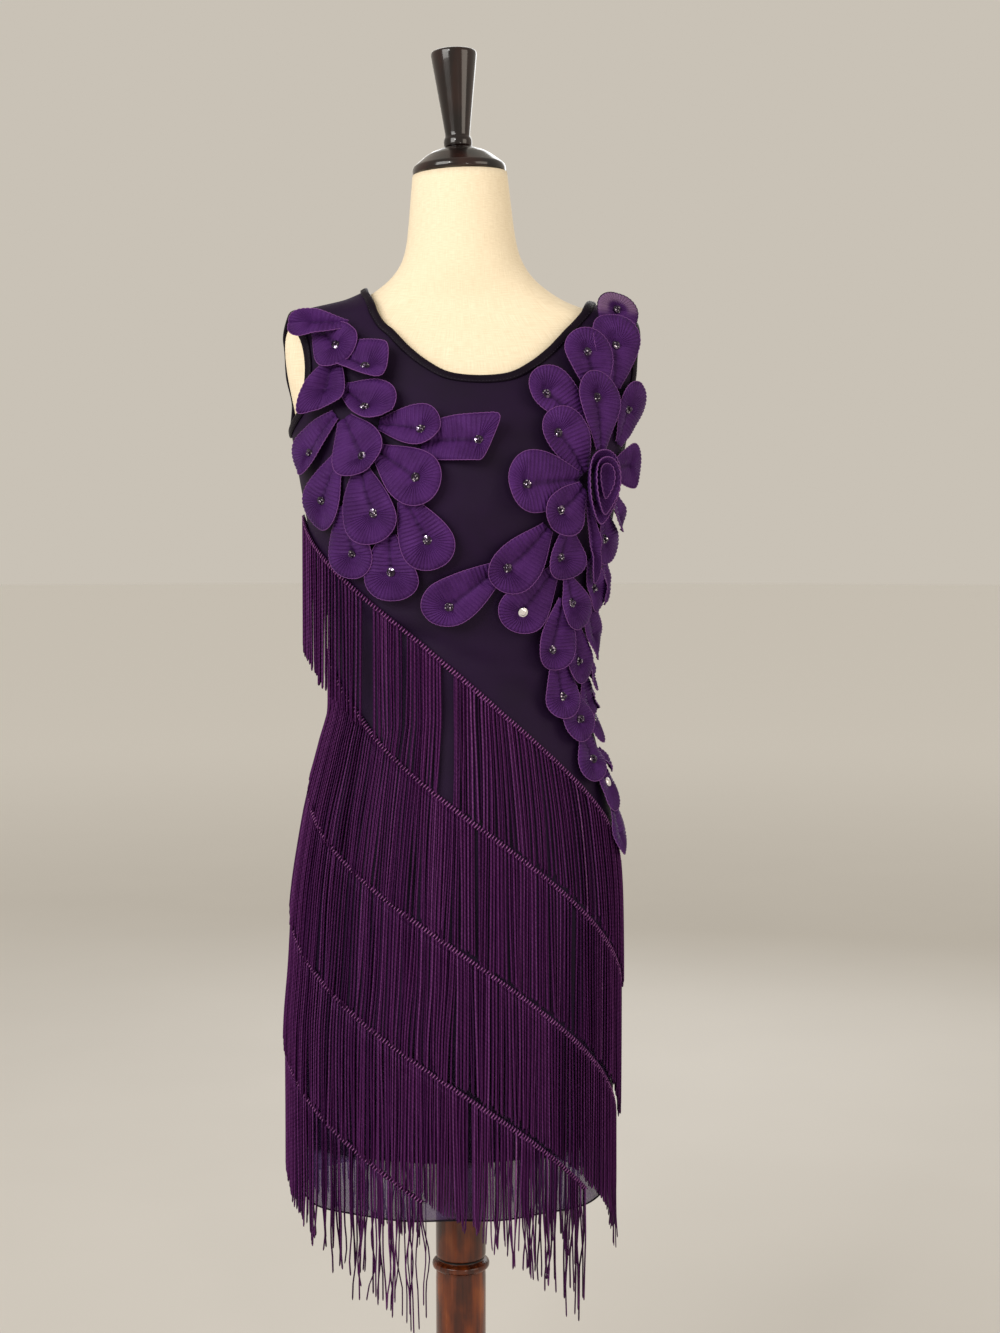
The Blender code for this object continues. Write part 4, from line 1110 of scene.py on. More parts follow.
def strand_row(row, finish, rng):
    """All the strands of one row, each hanging straight down or pushed out by the body below it."""
    at, turn, free = strand_places(row, rng)
    count = len(at)
    layer = np.arange(count) % 2
    out = np.array(LAYERS_OUT)[layer] + rng.normal(0, LAYER_SPREAD, count)
    top = row_height(row, turn) - STRAND_START
    length = STRAND_LENGTH + rng.normal(0, LENGTH_SPREAD, count)
    length -= SHORT_BY * (rng.random(count) < SHORT_STRANDS)
    ragged = rng.normal(0, FREE_LENGTH_SPREAD, count)
    ragged -= FREE_SHORT_BY * (rng.random(count) < SHORT_FREE_STRANDS)
    length += free * ragged
    share = np.append(np.linspace(0, 0.985, STRAND_POINTS - 1), 1.0)
    heights = top[:, None] - share * length[:, None]

    half, front, back, shift = np.moveaxis(curve(BODY, heights), -1, 0)
    angle = np.radians(np.abs(turn) - 90)[:, None]
    out = out[:, None] + STRAND_FLARE * share**2
    x = shift + (half + out) * np.sin(angle)
    x = np.where(angle > 0, np.maximum.accumulate(x, axis=1), np.minimum.accumulate(x, axis=1))
    side = np.where(turn >= 0, -1, 1)[:, None]
    depth = np.maximum.accumulate(np.where(side < 0, front, back), axis=1)
    y = side * (depth + out) * np.cos(angle)
    points = np.stack([x, y, heights], axis=-1)

    level_way = 0 * angle
    tangent = unit(np.concatenate([np.cos(angle), side * np.sin(angle), level_way], axis=1))
    outward_way = np.concatenate([np.sin(angle), side * np.cos(angle), level_way], axis=1)
    below = np.clip((HEM + LOOSE_FROM - heights) / LOOSE_WITHIN, 0, 1)
    points += strand_sway(row, at, share, below, rng)[:, :, None] * tangent[:, None]
    inward = rng.normal(0, SWING_IN, (count, 1)) * below
    points += inward[:, :, None] * outward_way[:, None]

    radius = STRAND_RADIUS * (1 + rng.normal(0, RADIUS_SPREAD, (count, 1)))
    radius = radius * (1 - STRAND_TAPER * np.clip(3 * below, 0, 1))
    radius[:, -1] *= STRAND_END
    ring_turn = (2 * math.pi / STRAND_SIDES * (np.arange(STRAND_SIDES) + 0.5))[:, None]
    ring = np.cos(ring_turn) * tangent[:, None, None] + np.sin(ring_turn) * outward_way[:, None, None]
    shell = points[:, :, None] + radius[:, :, None, None] * ring
    corners = STRAND_SIDES * STRAND_POINTS
    one = grid_faces(STRAND_POINTS - 1, STRAND_SIDES, closed=True)
    first = np.arange(STRAND_SIDES)
    one = np.concatenate([one, [first[::-1], first + corners - STRAND_SIDES]])
    faces = (one + (np.arange(count) * corners)[:, None, None]).reshape(-1, 4)
    # painted shade: the inner layer's strands are painted darker than the outer layer's, under a random tone
    tone_and_painted_light = STRAND_TONE_AND_LAYER_SHADE[0] + STRAND_TONE_AND_LAYER_SHADE[1] * layer + rng.normal(0, TONE_SPREAD, count)
    tone_and_painted_light = np.clip(tone_and_painted_light, *TONE_LIMITS)
    u = np.tile(first / STRAND_SIDES, count * STRAND_POINTS)
    v = np.repeat(share * length[:, None], STRAND_SIDES)
    piece = cloth_mesh(
        f"fringe_strands_{row + 1}",
        shell.reshape(-1, 3),
        faces,
        finish,
        uv=np.stack([u, v], axis=1),
        tone_and_painted_light=np.repeat(tone_and_painted_light, corners),
    )
    outward(piece)
    return piece


PLY_PITCH = 4.5 * MM
PLUM_TONES = (
    (0.0, srgb(16, 3, 20)),
    (0.30, srgb(48, 12, 54)),
    (0.55, srgb(74, 29, 78)),
    (0.78, srgb(98, 50, 104)),
    (1.0, srgb(154, 96, 152)),
)

RAYON_SHEEN = {"Sheen_Weight": 0.06, "Sheen_Roughness": 0.3, "Sheen_Tint": srgb(190, 120, 200)}
rayon = Finish("plum_rayon", Specular_IOR_Level=0.22, Specular_Tint=srgb(214, 150, 226), **RAYON_SHEEN)
glints = rayon.place.noise(1.7 * MM, 2.0, stretch=(1, 1, 6))
# the tone attribute brings the braid's and strands' painted light and shade, and the glints noise adds
# painted glints along each strand
tone_and_painted_light = rayon.attribute("tone_and_painted_light") + 0.36 * (glints - 0.5)
ply = (rayon.uv.part("X") + rayon.uv.part("Y") / PLY_PITCH).wave(1)
plum = tone_and_painted_light.node("ValToRGB", {0: tone_and_painted_light}, stops=PLUM_TONES)
rayon.feed("Base Color", (0.30 * ply).mix(plum, srgb(26, 6, 34)))
rayon.feed("Roughness", 0.36 + 0.18 * rayon.place.noise(9 * MM, 2.0))
rayon.bump(ply, 0.22 * MM, 0.7)

rng = np.random.default_rng(1926)
fringe_pieces = []
for row in range(len(ROW_HEIGHTS)):
    braid = header(row, rayon)
    strands = strand_row(row, rayon, rng)
    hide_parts(f"fringe_row_{row + 1}")
    for piece in (braid, strands):
        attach(piece, "root")
        fringe_pieces.append(piece)

# ---------------------------------------------------------------------------------------------------
# Petals: teardrops of crisp purple organza, finely pleated out from a gathered middle line and edged
# with a rolled cord. Each is sewn on at its narrow root and stands off toward its round tip.

PLEAT_PITCH = 4.0 * MM
SAMPLES_PER_PLEAT = 6
PLEAT_HEIGHT = 1.25 * MM
PLEAT_FADE = 0.30
PETAL_RINGS = 7
OUTLINE_POINTS = (200, 120)
FOOT_START, RING_CROWDING = 0.06, 1.15
PETAL_WALL = 0.45 * MM
PETAL_CORD, CORD_SIDES = 0.48 * MM, 5
CORD_UV = 1.1
BARE_BEAD = 0.62
GATHER_DEPTH, GATHER_HALF = 0.8 * MM, 2.4 * MM
DIMPLE_DEPTH, DIMPLE_HALF = 1.2 * MM, 7 * MM
CROWN_HEIGHT = 1.6 * MM
PUCKER_HEIGHT, PUCKER_HALF, PUCKER_PITCH = 0.8 * MM, 4.5 * MM, 1.3 * MM
ROOT_WIDTH = 0.30
WIDEST = 0.68
SIDE_TURN = 0.93
SHOULDER_HEIGHT = 1.325
STANDING_PETALS = ("r00", "r10")
SHEER_PETAL = "r00"
SHEER_ABOVE, SHEER_OPEN = (1.366, 1.376), 0.1447
# how far the whole cloth's colour sinks toward its darkest
ORGANZA_DEPTH = 0.5176
# petals whose round tip is turned under: how square the end looks, how wide the root is and how far
# the end slants
TURNED_ENDS = {"l08": (5.0, 0.82, 0.40), "l03": (4.0, 0.25, -0.30), "l02": (2.8, 0.45, -0.25)}
TURNED_WIDEST = 0.82
TURNED_TWIST = 0.22
STEEPEST_FOLD = 0.55
# Millimetres, but the bead's place along is a share of the length, where 0 is no bead, and the folds of
# the two halves are in degrees: name, root across and height, tip across and height, width, lift, bead
# along and aside, left fold, right fold.
PETALS = (
    ("l14", -68, 1148, -62, 1085, 54, 5, 0.57, -0.4, 6, 6),
    ("l13", -110, 1176, -98, 1106, 50, 5, 0.66, 2.1, 8, 4),
    ("l12", -52, 1182, -18, 1118, 52, 5, 0.61, 1.6, 5, 8),
    ("l11", -116, 1223, -134, 1155, 48, 5, 0.62, -1.8, 10, 5),
    ("l10", -94, 1212, -77, 1141, 58, 6, 0.62, 5.5, 6, 6),
    ("l08", -37, 1235, 30, 1235, 46, 9, 0.82, -1, 14, 12),
    ("l09", -79, 1227, -21, 1186, 50, 6, 0.67, 0.5, 8, 5),
    ("l07", -77, 1252, -18, 1246, 40, 8, 0.72, -4.7, 12, 10),
    ("l05", -118, 1265, -157, 1212, 40, 5, 0.61, 7.5, 2, 16),
    ("l06", -110, 1259, -85, 1208, 54, 6, 0.76, 1.2, 8, 10),
    ("l04", -113, 1288, -62, 1262, 46, 8, 0.59, -10.9, 38, 12),
    ("l03", -122, 1322, -132, 1268, 52, 6, 0, 0, 42, 12),
    ("l02", -128, 1325, -68, 1304, 46, 8, 0.70, -9.8, 50, 10),
    ("l01", -140, 1352, -106, 1316, 46, 7, 0.60, 0.8, 8, 12),
    ("l00", -108, 1350, -160, 1350, 32, 6, 0, 0, 58, 30),
    ("r33", 154, 870, 170, 814, 36, 4, 0, 0, 6, 10),
    ("r32", 140, 910, 158, 860, 38, 5, 0.43, 1.9, 8, 8),
    ("r31", 146, 924, 160, 898, 18, 6, 0, 0, 20, 10),
    ("r30", 120, 948, 130, 893, 40, 5, 0.60, 4.1, 8, 6),
    ("r29", 145, 996, 150, 962, 22, 6, 0, 0, 20, 10),
    ("r28", 132, 978, 148, 929, 34, 5, 0.49, -4, 10, 6),
    ("r27", 124, 1003, 134, 957, 34, 5, 0, 0, 8, 8),
    ("r26", 104, 997, 116, 934, 38, 5, 0.66, 4.1, 6, 8),
    ("r24", 133, 1026, 135, 986, 20, 7, 0, 0, 24, 10),
    ("r25", 92, 1026, 99, 958, 38, 5, 0.63, 1.6, 8, 8),
    ("r23", 110, 1058, 114, 996, 34, 5, 0.63, -0.5, 8, 10),
    ("r22", 120, 1087, 143, 1020, 32, 5, 0, 0, 12, 8),
    ("r21", 142, 1130, 146, 1078, 22, 8, 0, 0, 26, 10),
    ("r20", 124, 1124, 136, 1073, 32, 5, 0.53, -4.5, 8, 8),
    ("r16", 42, 1118, -33, 1070, 48, 7, 0.73, 4.5, 6, 6),
    ("r17", 90, 1112, 43, 1058, 52, 6, 0.70, 1.8, 8, 6),
    ("r18", 98, 1086, 86, 1012, 40, 6, 0.73, -4.3, 8, 8),
    ("r19", 101, 1106, 112, 1056, 34, 6, 0.46, -3.1, 10, 8),
    ("r15", 84, 1155, 32, 1099, 50, 7, 0.72, -5.2, 8, 10),
    ("r14", 102, 1154, 97, 1105, 42, 6, 0.55, -7.3, 10, 8),
    ("r12", 140, 1172, 142, 1120, 42, 6, 0.52, -4.5, 10, 10),
    ("r11", 150, 1190, 160, 1154, 30, 9, 0, 0, 24, 10),
    ("r13", 120, 1186, 123, 1101, 20, 7, 0, 0, 50, 50),
    ("r00", 153, 1337, 157, 1388, 50, 0, 0.70, 0, 6, 6),
    ("r01", 149, 1293, 147, 1361, 50, 6, 0.59, -1.2, 6, 6),
    ("r02", 132, 1280, 117, 1345, 48, 6, 0.67, 1, 8, 6),
    ("r04", 154, 1238, 176, 1300, 42, 6, 0.54, 4.2, 10, 6),
    ("r05", 124, 1247, 69, 1302, 46, 7, 0.70, 7.8, 8, 8),
    ("r06", 120, 1206, 84, 1265, 48, 7, 0.69, 7.2, 10, 8),
    ("r03", 134, 1230, 127, 1305, 44, 7, 0.67, 1.3, 8, 8),
    ("r10", 149, 1214, 178, 1219, 46, 3, 0, 0, 4, 4),
    ("r07", 114, 1200, 43, 1196, 56, 8, 0.78, 2.8, 6, 8),
    ("r08", 115, 1194, 81, 1157, 46, 7, 0.66, -4.9, 10, 8),
)
SLIVER_BASE = 6 * MM


def place(across, height):
    """The surface point of a petal's end. Past the turn of the side, across is measured round it."""
    half, front, _, shift = curve(BODY, height)
    reach = SIDE_TURN * half
    if abs(across - shift) <= reach or height > SHOULDER_HEIGHT:
        return on_face(across, height, -1)
    turn = math.degrees(math.asin(SIDE_TURN) + (abs(across - shift) - reach) / front)
    turn = math.copysign(turn, across)
    if abs(turn) <= 90:
        return body(turn, height, -1)
    return body(math.copysign(180, turn) - turn, height, 1)


class PetalPlace:
    """Where one petal lies. at() gives the points along it, across it and above its base."""

    def __init__(self, row, base):
        name, root_across, root_height, tip_across, tip_height, _, lift, _, _, left, right = row
        self.base = base
        self.lift = lift * MM
        self.folds = (math.radians(left), math.radians(right))
        self.standing = name in STANDING_PETALS
        self.square, self.root_width, self.slant = TURNED_ENDS.get(name, (2.0, ROOT_WIDTH, 0.0))
        root = place(root_across * MM, root_height * MM)
        if self.standing:
            self.normal = skin(root, 1.0)[0] - root
            step = np.array([tip_across * MM - root[0], 0.0, tip_height * MM - root[2]])
            step[1] = -step.dot(self.normal) / self.normal[1]
            middle = root + step / 2
        else:
            tip = place(tip_across * MM, tip_height * MM)
            middle = skin((root + tip) / 2)[0]
            self.normal = skin(middle, 1.0)[0] - middle
            step = tip - root
        self.length = np.linalg.norm(step)
        axis = step - step.dot(self.normal) * self.normal
        self.axis = axis / np.linalg.norm(axis)
        self.aside = np.cross(self.normal, self.axis)
        self.start = middle - self.axis * self.length / 2

    def at(self, along, across, height):
        values = (along, across, height)
        along, across, height = (np.asarray(value, float).reshape(-1, 1) for value in values)
        along = along + self.slant * across * np.clip(along / self.length, 0, 1) ** 3
        fold = np.where(across < 0, *self.folds)
        folded = np.abs(across) * np.minimum(np.sin(fold), STEEPEST_FOLD)
        folded *= np.clip(2 * along / self.length, 0, 1)
        height = height + self.base + self.lift * along / self.length + folded
        flat = self.start + along * self.axis + across * np.cos(fold) * self.aside
        return flat + height * self.normal if self.standing else skin(flat, height)


def petal_base(node):
    """How far outside the body a packed petal's underside lies at its root."""
    points = np.array([vertex.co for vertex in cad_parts[node].data.vertices])
    return float(np.linalg.norm(points - skin(points), axis=1).min())


def half_width(share, square, root_width):
    """A petal's half width along its length, as a share of the widest: narrow root, round tip."""
    widest = WIDEST if square == 2 else TURNED_WIDEST
    rise = np.clip(share / widest, 0, 1)
    body_part = root_width + (1 - root_width) * np.sin(rise * math.pi / 2) ** 1.15
    fall = np.clip((share - widest) / (1 - widest), 0, 1)
    return body_part * (1 - fall**square) ** (1 / square)


def petal_grid(place_of, width, bead, aside):
    """The petal laid flat, as rings from its gathered middle line out to its edge, down one side and up
    the other. Gives each point's distance along and across, its share of the way out and its pleat."""
    length = place_of.length
    narrow, round_end = OUTLINE_POINTS
    end = WIDEST + (1 - WIDEST) * np.sin(np.linspace(0, math.pi / 2, round_end))[1:]
    fine = np.concatenate([np.linspace(0, WIDEST, narrow), end])
    halves = half_width(fine, place_of.square, place_of.root_width) * width / 2
    edge = np.stack([fine * length, halves], axis=1)
    lengths = lengths_of(edge)
    count = int(lengths[-1] / PLEAT_PITCH) * SAMPLES_PER_PLEAT
    share = np.linspace(0, 1, count + 1)
    side = np.stack([np.interp(share * lengths[-1], lengths, edge[:, k]) for k in (0, 1)], axis=1)
    reach = np.interp(bead * length, edge[:, 0], lengths) / lengths[-1]
    foot = np.clip(FOOT_START + (1 - FOOT_START) * share / (0.94 * reach), 0, 1)
    foot[0] = 0.0
    outline = np.concatenate([side, side[-2::-1] * (1, -1)])
    foot = np.concatenate([foot, foot[-2::-1]])
    ring = np.linspace(0, 1, PETAL_RINGS + 1)[:, None] ** RING_CROWDING
    foot_along, foot_across = foot * bead * length, foot**2 * aside
    along = foot_along + ring * (outline[None, :, 0] - foot_along)
    across = foot_across + ring * (outline[None, :, 1] - foot_across)
    turn = np.concatenate([np.arange(count + 1), np.arange(count)[::-1]]) / SAMPLES_PER_PLEAT
    return along, across, ring + 0 * along, turn + 0 * along


def petal_rise(along, across, ring, turn, place_of, bead, aside, rng):
    """How far each point of the flat petal stands above its base: pleats, gathers, crown and curl."""
    pleat = PLEAT_HEIGHT * (1 - np.abs(np.cos(turn * math.pi)) ** 2.4)
    pleat = pleat * np.clip(0.15 + ring * 2.2, 0, 1) * (1 - PLEAT_FADE * ring**6)
    share = along / place_of.length
    bead_along = bead * place_of.length
    from_line = across - np.clip(along / bead_along, 0, 1) ** 2 * aside
    from_bead = np.hypot(along - bead_along, across - aside)
    gather = GATHER_DEPTH * bell(from_line, GATHER_HALF)
    gather = gather * np.clip((bead_along - along) / (4 * MM), 0, 1)
    dimple = DIMPLE_DEPTH * bell(from_bead, DIMPLE_HALF)
    crown = CROWN_HEIGHT * np.sin(np.clip(ring, 0, 1) * math.pi * 0.85)
    a, b, c = rng.uniform(0, 2 * math.pi, 3)
    edge_turn = np.arctan2(across, along - bead_along)
    curl = ring**3 * MM * (0.6 + 1.2 * np.sin(edge_turn * 2 + a) + 0.9 * np.sin(edge_turn * 3 + b))
    curl *= np.clip(2 * share, 0, 1)
    pucker = PUCKER_HEIGHT * bell(from_line, PUCKER_HALF)
    pucker = pucker * np.sin(along / PUCKER_PITCH + c + 2 * np.sin(along / (5 * MM)))
    rise = pleat - gather - dimple + crown + curl + pucker
    if place_of.square > 2:
        rise += TURNED_TWIST * across * np.clip(2 * share - 1, 0, 1) ** 2
    return rise


def pleated(name, cord_colour, sheer=False):
    """Pleated organza with a worn surface. A sheer one lets a little light through its top, which is also
    painted paler: painted light.
    """
    sheen = {"Sheen_Weight": 0.08, "Sheen_Roughness": 0.35, "Sheen_Tint": srgb(170, 130, 230)}
    cloth = Finish(name, Specular_IOR_Level=0.22, Specular_Tint=srgb(214, 170, 240), **sheen)
    out_share = cloth.uv.part("Y")
    dye = cloth.place.noise(22 * MM, 3.0).ramp(0.3, 0.75)
    ridge = dye.mix(srgb(78, 34, 104), srgb(98, 48, 130))
    worn = cloth.place.noise(1.1 * MM, 2.0).ramp(0.45, 0.8)
    ridge = (0.30 * worn).mix(ridge, srgb(130, 84, 164))
    if sheer:
        # painted light: the sheer top is painted paler lilac for light shining through it, and its alpha lets
        # some real light through
        sheer_and_painted_light = cloth.place.part("Z").ramp(*SHEER_ABOVE) * out_share.ramp(0.35, 0.62)
        ridge = sheer_and_painted_light.mix(ridge, srgb(158, 118, 168))
        cloth.feed("Alpha", 1 - SHEER_OPEN * sheer_and_painted_light)
    colour = ridge.node("Mix", {0: ORGANZA_DEPTH, 6: ridge, 7: srgb(5, 1, 9)}, output=2, data_type="RGBA")
    middle_shade = (1 - out_share.ramp(0.02, 0.16)) * 0.5
    colour = middle_shade.mix(colour, srgb(26, 8, 38))
    cord = out_share.ramp(1.01, 1.04)
    cloth.feed("Base Color", cord.mix(colour, cord_colour))
    cloth.feed("Roughness", 0.564 + 0.1 * cord)
    cloth.bump(cloth.place.noise(0.5 * MM, 1.0), 0.105 * MM, 0.9)
    return cloth


organza = pleated("pleated_organza", srgb(106, 64, 120))
# painted shade: the sheer petal's cord is painted dark, the rolled edge seen against the light through the
# cloth
sheer_organza = pleated("sheer_organza", srgb(40, 18, 52), sheer=True)


def edge_cord(path, radius, cloth, closed=False):
    """The rolled cord along every other point of a pleated edge."""
    points, faces = tube(path[::2], radius, CORD_SIDES, closed)
    cord = cloth_mesh("cord", points, faces, cloth, uv=np.full((len(points), 2), CORD_UV))
    outward(cord)
    return cord


def petal(row, rng):
    """One petal and its edge cord in one mesh, with its place."""
    name, width, bead, aside = row[0], row[5] * MM, row[7] or BARE_BEAD, row[8] * MM
    node = f"petal_{name}"
    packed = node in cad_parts
    place_of = PetalPlace(row, petal_base(node) if packed else SLIVER_BASE)
    along, across, ring, turn = petal_grid(place_of, width, bead, aside)
    rise = petal_rise(along, across, ring, turn, place_of, bead, aside, rng)
    uv = np.stack([turn.reshape(-1), ring.reshape(-1)], axis=1)
    faces = grid_faces(along.shape[0] - 1, along.shape[1] - 1)[:, ::-1]
    cloth = sheer_organza if name == SHEER_PETAL else organza
    points = place_of.at(along, across, rise + PETAL_WALL)
    piece = cloth_mesh(f"{node}_pleated", points, faces, cloth, uv=uv)
    thicken(piece, PETAL_WALL)
    edge = place_of.at(along[-1], across[-1], rise[-1] + PETAL_WALL / 2)
    whole = joined(f"{node}_pleated", [piece, edge_cord(edge, PETAL_CORD, cloth)])
    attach(whole, "root")
    if packed:
        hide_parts(node)
    return whole, place_of


def joined(name, pieces):
    """Joins pieces into the first of them."""
    whole = pieces[0]
    only(whole)
    for piece in pieces:
        piece.select_set(True)
    bpy.ops.object.join()
    whole.name = whole.data.name = name
    return whole


petals, bead_places = [], []
for row in PETALS:
    piece, place_of = petal(row, rng)
    petals.append(piece)
    if row[7]:
        bead_places.append((row, place_of))

# ---------------------------------------------------------------------------------------------------
# Rosette: the middle of the right-hand spray, three oval cups of the same pleated organza set one in
# another, standing on edge round a hollow darkened by painted shade.

ROSETTE_ACROSS, ROSETTE_HEIGHT = 128 * MM, 1196 * MM
# share of the half size at the foot and at the rim, rim's height, and the shift across and up
ROSETTE_CUPS = ((0.42, 1.00, 11.5, 0.0, 0.0), (0.22, 0.76, 13.5, 1.5, 1.0), (0.05, 0.46, 11.0, 2.5, 5.0))
ROSETTE_HALF_WIDTH, ROSETTE_HALF_HEIGHT = 19 * MM, 36 * MM
ROSETTE_SUNK = 1 * MM
RIM_CORD = 0.65 * MM
# how early a cup flares, and how narrow its lower end is
CUP_FLARE, CUP_POINT = 0.6, 0.22
CUP_RINGS = 7


def rosette_cup(cup, base, centre, aside, upward):
    """One oval cup: its pleats run from the foot up to the flared rim."""
    foot_share, rim_share, rim_height, shift_across, shift_up = cup
    mean_half = math.hypot(ROSETTE_HALF_WIDTH, ROSETTE_HALF_HEIGHT) / math.sqrt(2)
    pleats = int(2 * math.pi * mean_half * rim_share / PLEAT_PITCH)
    count = pleats * SAMPLES_PER_PLEAT
    turn = np.linspace(0, 2 * math.pi, count, endpoint=False)
    ring = np.linspace(0, 1, CUP_RINGS + 1)[:, None]
    share = foot_share + (rim_share - foot_share) * ring**CUP_FLARE
    pleat = PLEAT_HEIGHT * (1 - np.abs(np.cos(turn * pleats / 2)) ** 3) * (0.4 + 0.6 * ring)
    uneven = 1 + 0.05 * np.sin(2 * turn + 1.0) + 0.03 * np.sin(3 * turn)
    across = share * ROSETTE_HALF_WIDTH * np.cos(turn) * uneven + shift_across * MM
    up = share * ROSETTE_HALF_HEIGHT * np.sin(turn) * uneven + shift_up * MM
    across = across * (1 - CUP_POINT * np.clip(-np.sin(turn), 0, 1) ** 2)
    flat = centre + across.reshape(-1, 1) * aside + up.reshape(-1, 1) * upward
    height = base + rim_height * MM * ring**1.35 * (1 + 0.10 * np.sin(turn * 2 + 0.6)) + pleat
    points = skin(skin(flat), height.reshape(-1))
    pleat_turn = np.tile(turn * pleats / (2 * math.pi), CUP_RINGS + 1)
    # painted shade: the cups' feet get a low share out, so that the cloth's painted middle shade darkens the
    # hollow
    uv = np.stack([pleat_turn, np.repeat(0.06 + 0.94 * ring, count)], axis=1)
    faces = grid_faces(CUP_RINGS, count, closed=True)[:, ::-1]
    piece = cloth_mesh("cup", points, faces, organza, uv=uv)
    thicken(piece, PETAL_WALL)
    return [piece, edge_cord(points[-count:], RIM_CORD, organza, closed=True)]


centre = place(ROSETTE_ACROSS, ROSETTE_HEIGHT)
normal = skin(centre, 1.0)[0] - centre
aside = np.cross((0, 0, 1), normal)
aside /= np.linalg.norm(aside)
upward = np.cross(normal, aside)
rosette_foot = petal_base("petal_r09") - ROSETTE_SUNK
cups = []
for cup in ROSETTE_CUPS:
    cups += rosette_cup(cup, rosette_foot, centre, aside, upward)
rosette = joined("petal_r09_rosette", cups)
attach(rosette, "root")
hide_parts("petal_r09")

# ---------------------------------------------------------------------------------------------------
# Beads: on each petal a faceted black cup sequin held by a small faceted bead, and on two of the petals
# a flat-backed silver disc instead.

# each primitive's size, and the height of its middle above the cloth
SEQUIN = dict(vertices=10, radius1=5 * MM, radius2=1.5 * MM, depth=1.3 * MM, location=(0, 0, 0.9 * MM))
BEAD = dict(subdivisions=2, radius=2.5 * MM, location=(0, 0, 2.6 * MM))
DISC = dict(vertices=20, radius=5 * MM, depth=1.4 * MM, location=(0, 0, 1.0 * MM))
DOME = dict(vertices=10, radius1=4 * MM, radius2=2.25 * MM, depth=0.9 * MM, location=(0, 0, 2.0 * MM))
BEAD_RISE = 0.9 * MM
BEAD_LEAN = 0.14 * MM
SILVER_DISCS = ("r17", "r32")

POLISH = {"Coat_Weight": 0.3, "Coat_Roughness": 0.03, "IOR": 1.6}
jet = Finish("jet_facets", Specular_Tint=srgb(200, 160, 220), **POLISH)
# painted glints: random near-white metal spots on the facets, which also reflect their surroundings as metal
metal_and_painted_glints = jet.place.noise(1.6 * MM, 0.0).ramp(0.66, 0.72)
dark = jet.place.noise(2 * MM, 1.0).mix(srgb(4, 2, 6), srgb(20, 10, 26))
jet.feed("Base Color", metal_and_painted_glints.mix(dark, srgb(232, 224, 240)))
jet.feed("Metallic", 0.9 * metal_and_painted_glints)
jet.feed("Roughness", 0.08 + 0.10 * jet.place.noise(1.5 * MM, 1.0))
silver = Finish("silver_disc", Coat_Weight=0.6, Coat_Roughness=0.05)
silver.feed("Base Color", silver.place.noise(3 * MM, 2.0).mix(srgb(206, 200, 202), srgb(240, 238, 236)))
silver.feed("Metallic", 0.55 + 0.3 * silver.place.noise(3 * MM, 1.0))
silver.feed("Roughness", 0.18 + 0.15 * silver.place.noise(2 * MM, 1.0))


def bevelled(width, segments):
    """The primitive just added, with all its edges bevelled."""
    bpy.ops.object.mode_set(mode="EDIT")
    bpy.ops.mesh.select_all(action="SELECT")
    bpy.ops.mesh.bevel(offset=width, segments=segments)
    bpy.ops.object.mode_set(mode="OBJECT")
    return bpy.context.object


def trim(name, pieces, finish):
    """Primitives joined into one flat-shaded trim, to be copied to each petal."""
    whole = joined(name, pieces)
    bpy.ops.object.transform_apply(location=True, rotation=True, scale=True)
    whole.data.materials.clear()
    whole.data.materials.append(finish.material)
    return whole


# a cup sequin with ten facets and a raised rim, under a faceted bead
bpy.ops.mesh.primitive_cone_add(**SEQUIN)
cup = bevelled(0.35 * MM, 1)
bpy.ops.mesh.primitive_ico_sphere_add(**BEAD)
bpy.context.object.scale = (1, 1, 0.8)
sequin = trim("sequin_master", [cup, bpy.context.object], jet)

# a flat-backed disc: a low faceted dome in a thin rim
bpy.ops.mesh.primitive_cylinder_add(**DISC)
rim = bevelled(0.5 * MM, 2)
bpy.ops.mesh.primitive_cone_add(**DOME)
disc = trim("disc_master", [rim, bpy.context.object], silver)

for row, place_of in bead_places:
    name, bead, aside = row[0], row[7] * place_of.length, row[8] * MM
    spots = place_of.at([bead, bead + MM, bead], [aside] * 3, [BEAD_RISE, BEAD_RISE, BEAD_RISE + MM])
    facing = spots[2] - spots[0] + rng.normal(0, BEAD_LEAN, 3)
    facing /= np.linalg.norm(facing)
    aside_way = np.cross(facing, spots[1] - spots[0])
    aside_way /= np.linalg.norm(aside_way)
    turn = np.stack([np.cross(aside_way, facing), aside_way, facing])
    master = disc if name in SILVER_DISCS else sequin
    beaded = master.copy()
    beaded.data = master.data.copy()
    beaded.name = beaded.data.name = f"bead_{name}"
    bpy.context.collection.objects.link(beaded)
    corners = np.array([vertex.co for vertex in beaded.data.vertices])
    beaded.data.vertices.foreach_set("co", (spots[0] + corners @ turn).astype(np.float32).ravel())
    beaded.data.update()
    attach(beaded, "root")
for master in (sequin, disc):
    bpy.data.objects.remove(master)

# ---------------------------------------------------------------------------------------------------
# The trims: the fringe, hem roll, bindings, topstitching, petals and rosette, gathered in one list.

trims = [hem_roll, neck_binding, left_binding, right_binding, topstitching]
trims = [*fringe_pieces, *trims, *petals, rosette]

# ---------------------------------------------------------------------------------------------------
# Studio: a pale floor and soft light, the window side on the left and a warm fill on the right.

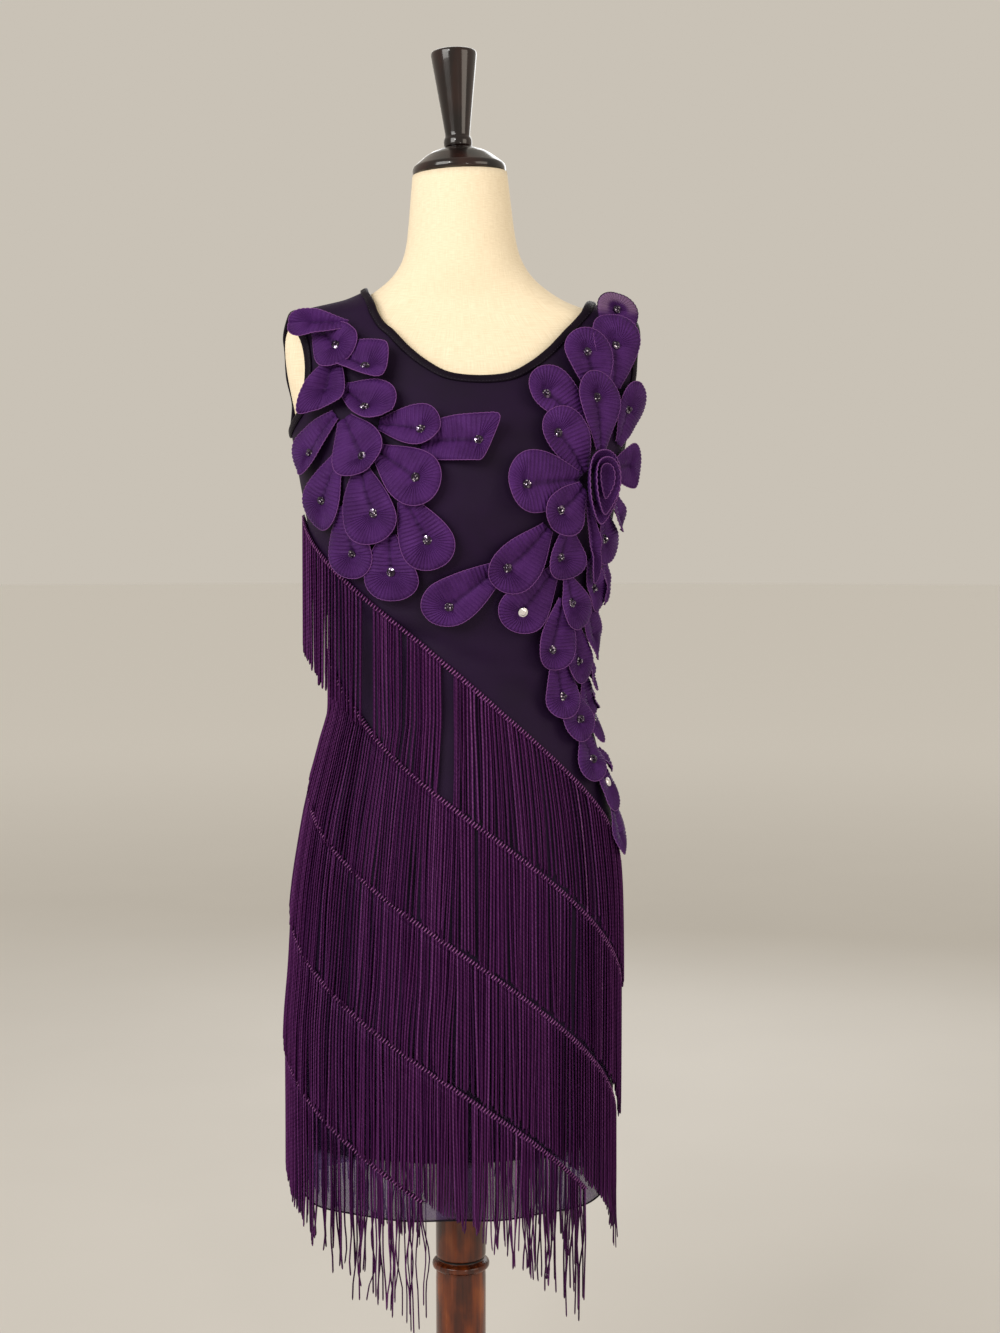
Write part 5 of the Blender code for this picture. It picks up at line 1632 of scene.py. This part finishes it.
# the paint is paler far off, where less light falls, so that the floor runs evenly out of sight
floor_paint = Finish("pale_floor", Roughness=0.9, Specular_IOR_Level=0.1)
distance = floor_paint.place.node("VectorMath", {0: floor_paint.place}, output=1, operation="LENGTH")
near = floor_paint.place.noise(0.5, 2.0).mix(srgb(205, 202, 197), srgb(212, 209, 204))
floor_paint.feed("Base Color", distance.ramp(0.8, 9.0).mix(near, srgb(251, 250, 248)))
bpy.ops.mesh.primitive_circle_add(vertices=64, radius=40.0, fill_type="NGON", location=(0, 0, 0))
floor = bpy.context.object
floor.name = floor.data.name = "studio_floor"
floor.data.materials.append(floor_paint.material)
floor.select_set(False)

world = bpy.data.worlds.new("studio")
bpy.context.scene.world = world
world.use_nodes = True
background = world.node_tree.nodes["Background"]
background.inputs["Color"].default_value = srgb(222, 214, 201)
background.inputs["Strength"].default_value = 0.8


def soft_light(name, place, target, size, power, colour):
    """A square area light at this place, turned to face the target."""
    lamp = bpy.data.lights.new(name, "AREA")
    lamp.size = size
    lamp.energy = power
    lamp.color = colour
    holder = bpy.data.objects.new(name, lamp)
    bpy.context.collection.objects.link(holder)
    way = np.array(target) - np.array(place)
    holder.location = place
    yaw = math.atan2(way[1], way[0]) - math.pi / 2
    pitch = math.atan2(math.hypot(way[0], way[1]), -way[2])
    holder.rotation_euler = (pitch, 0, yaw)


soft_light("window", (-2.0, -2.2, 2.3), (0, 0, 1.0), 1.8, 66, (1.0, 0.98, 0.94))
soft_light("room_fill", (2.4, -1.6, 1.7), (0, 0, 1.0), 1.6, 22, (1.0, 0.90, 0.78))
soft_light("glint_left", (-1.1, -2.5, 2.3), (0, 0, 1.1), 0.22, 9, (1.0, 0.98, 0.96))
soft_light("glint_right", (0.9, -2.5, 1.0), (0, 0, 1.1), 0.22, 5, (1.0, 0.95, 0.88))
soft_light("back_fill", (0.6, 2.6, 2.2), (0, 0, 1.0), 2.0, 24, (0.95, 0.97, 1.0))

# The camera stands at chest height, 2.08 m in front, and looks a little down.
CAMERA_PLACE = (0.0, -2.08, 1.153)
CAMERA_DOWN = math.radians(3.96)
CAMERA_TURN = math.radians(-1.144)
CAMERA_LENS = 54.09

lens = bpy.data.cameras.new("camera")
lens.lens = CAMERA_LENS
lens.sensor_width = 36.0
camera = bpy.data.objects.new("camera", lens)
camera.location = CAMERA_PLACE
camera.rotation_euler = (math.pi / 2 - CAMERA_DOWN, 0, CAMERA_TURN)
bpy.context.collection.objects.link(camera)
bpy.context.scene.camera = camera
bpy.context.scene.view_settings.view_transform = "Standard"
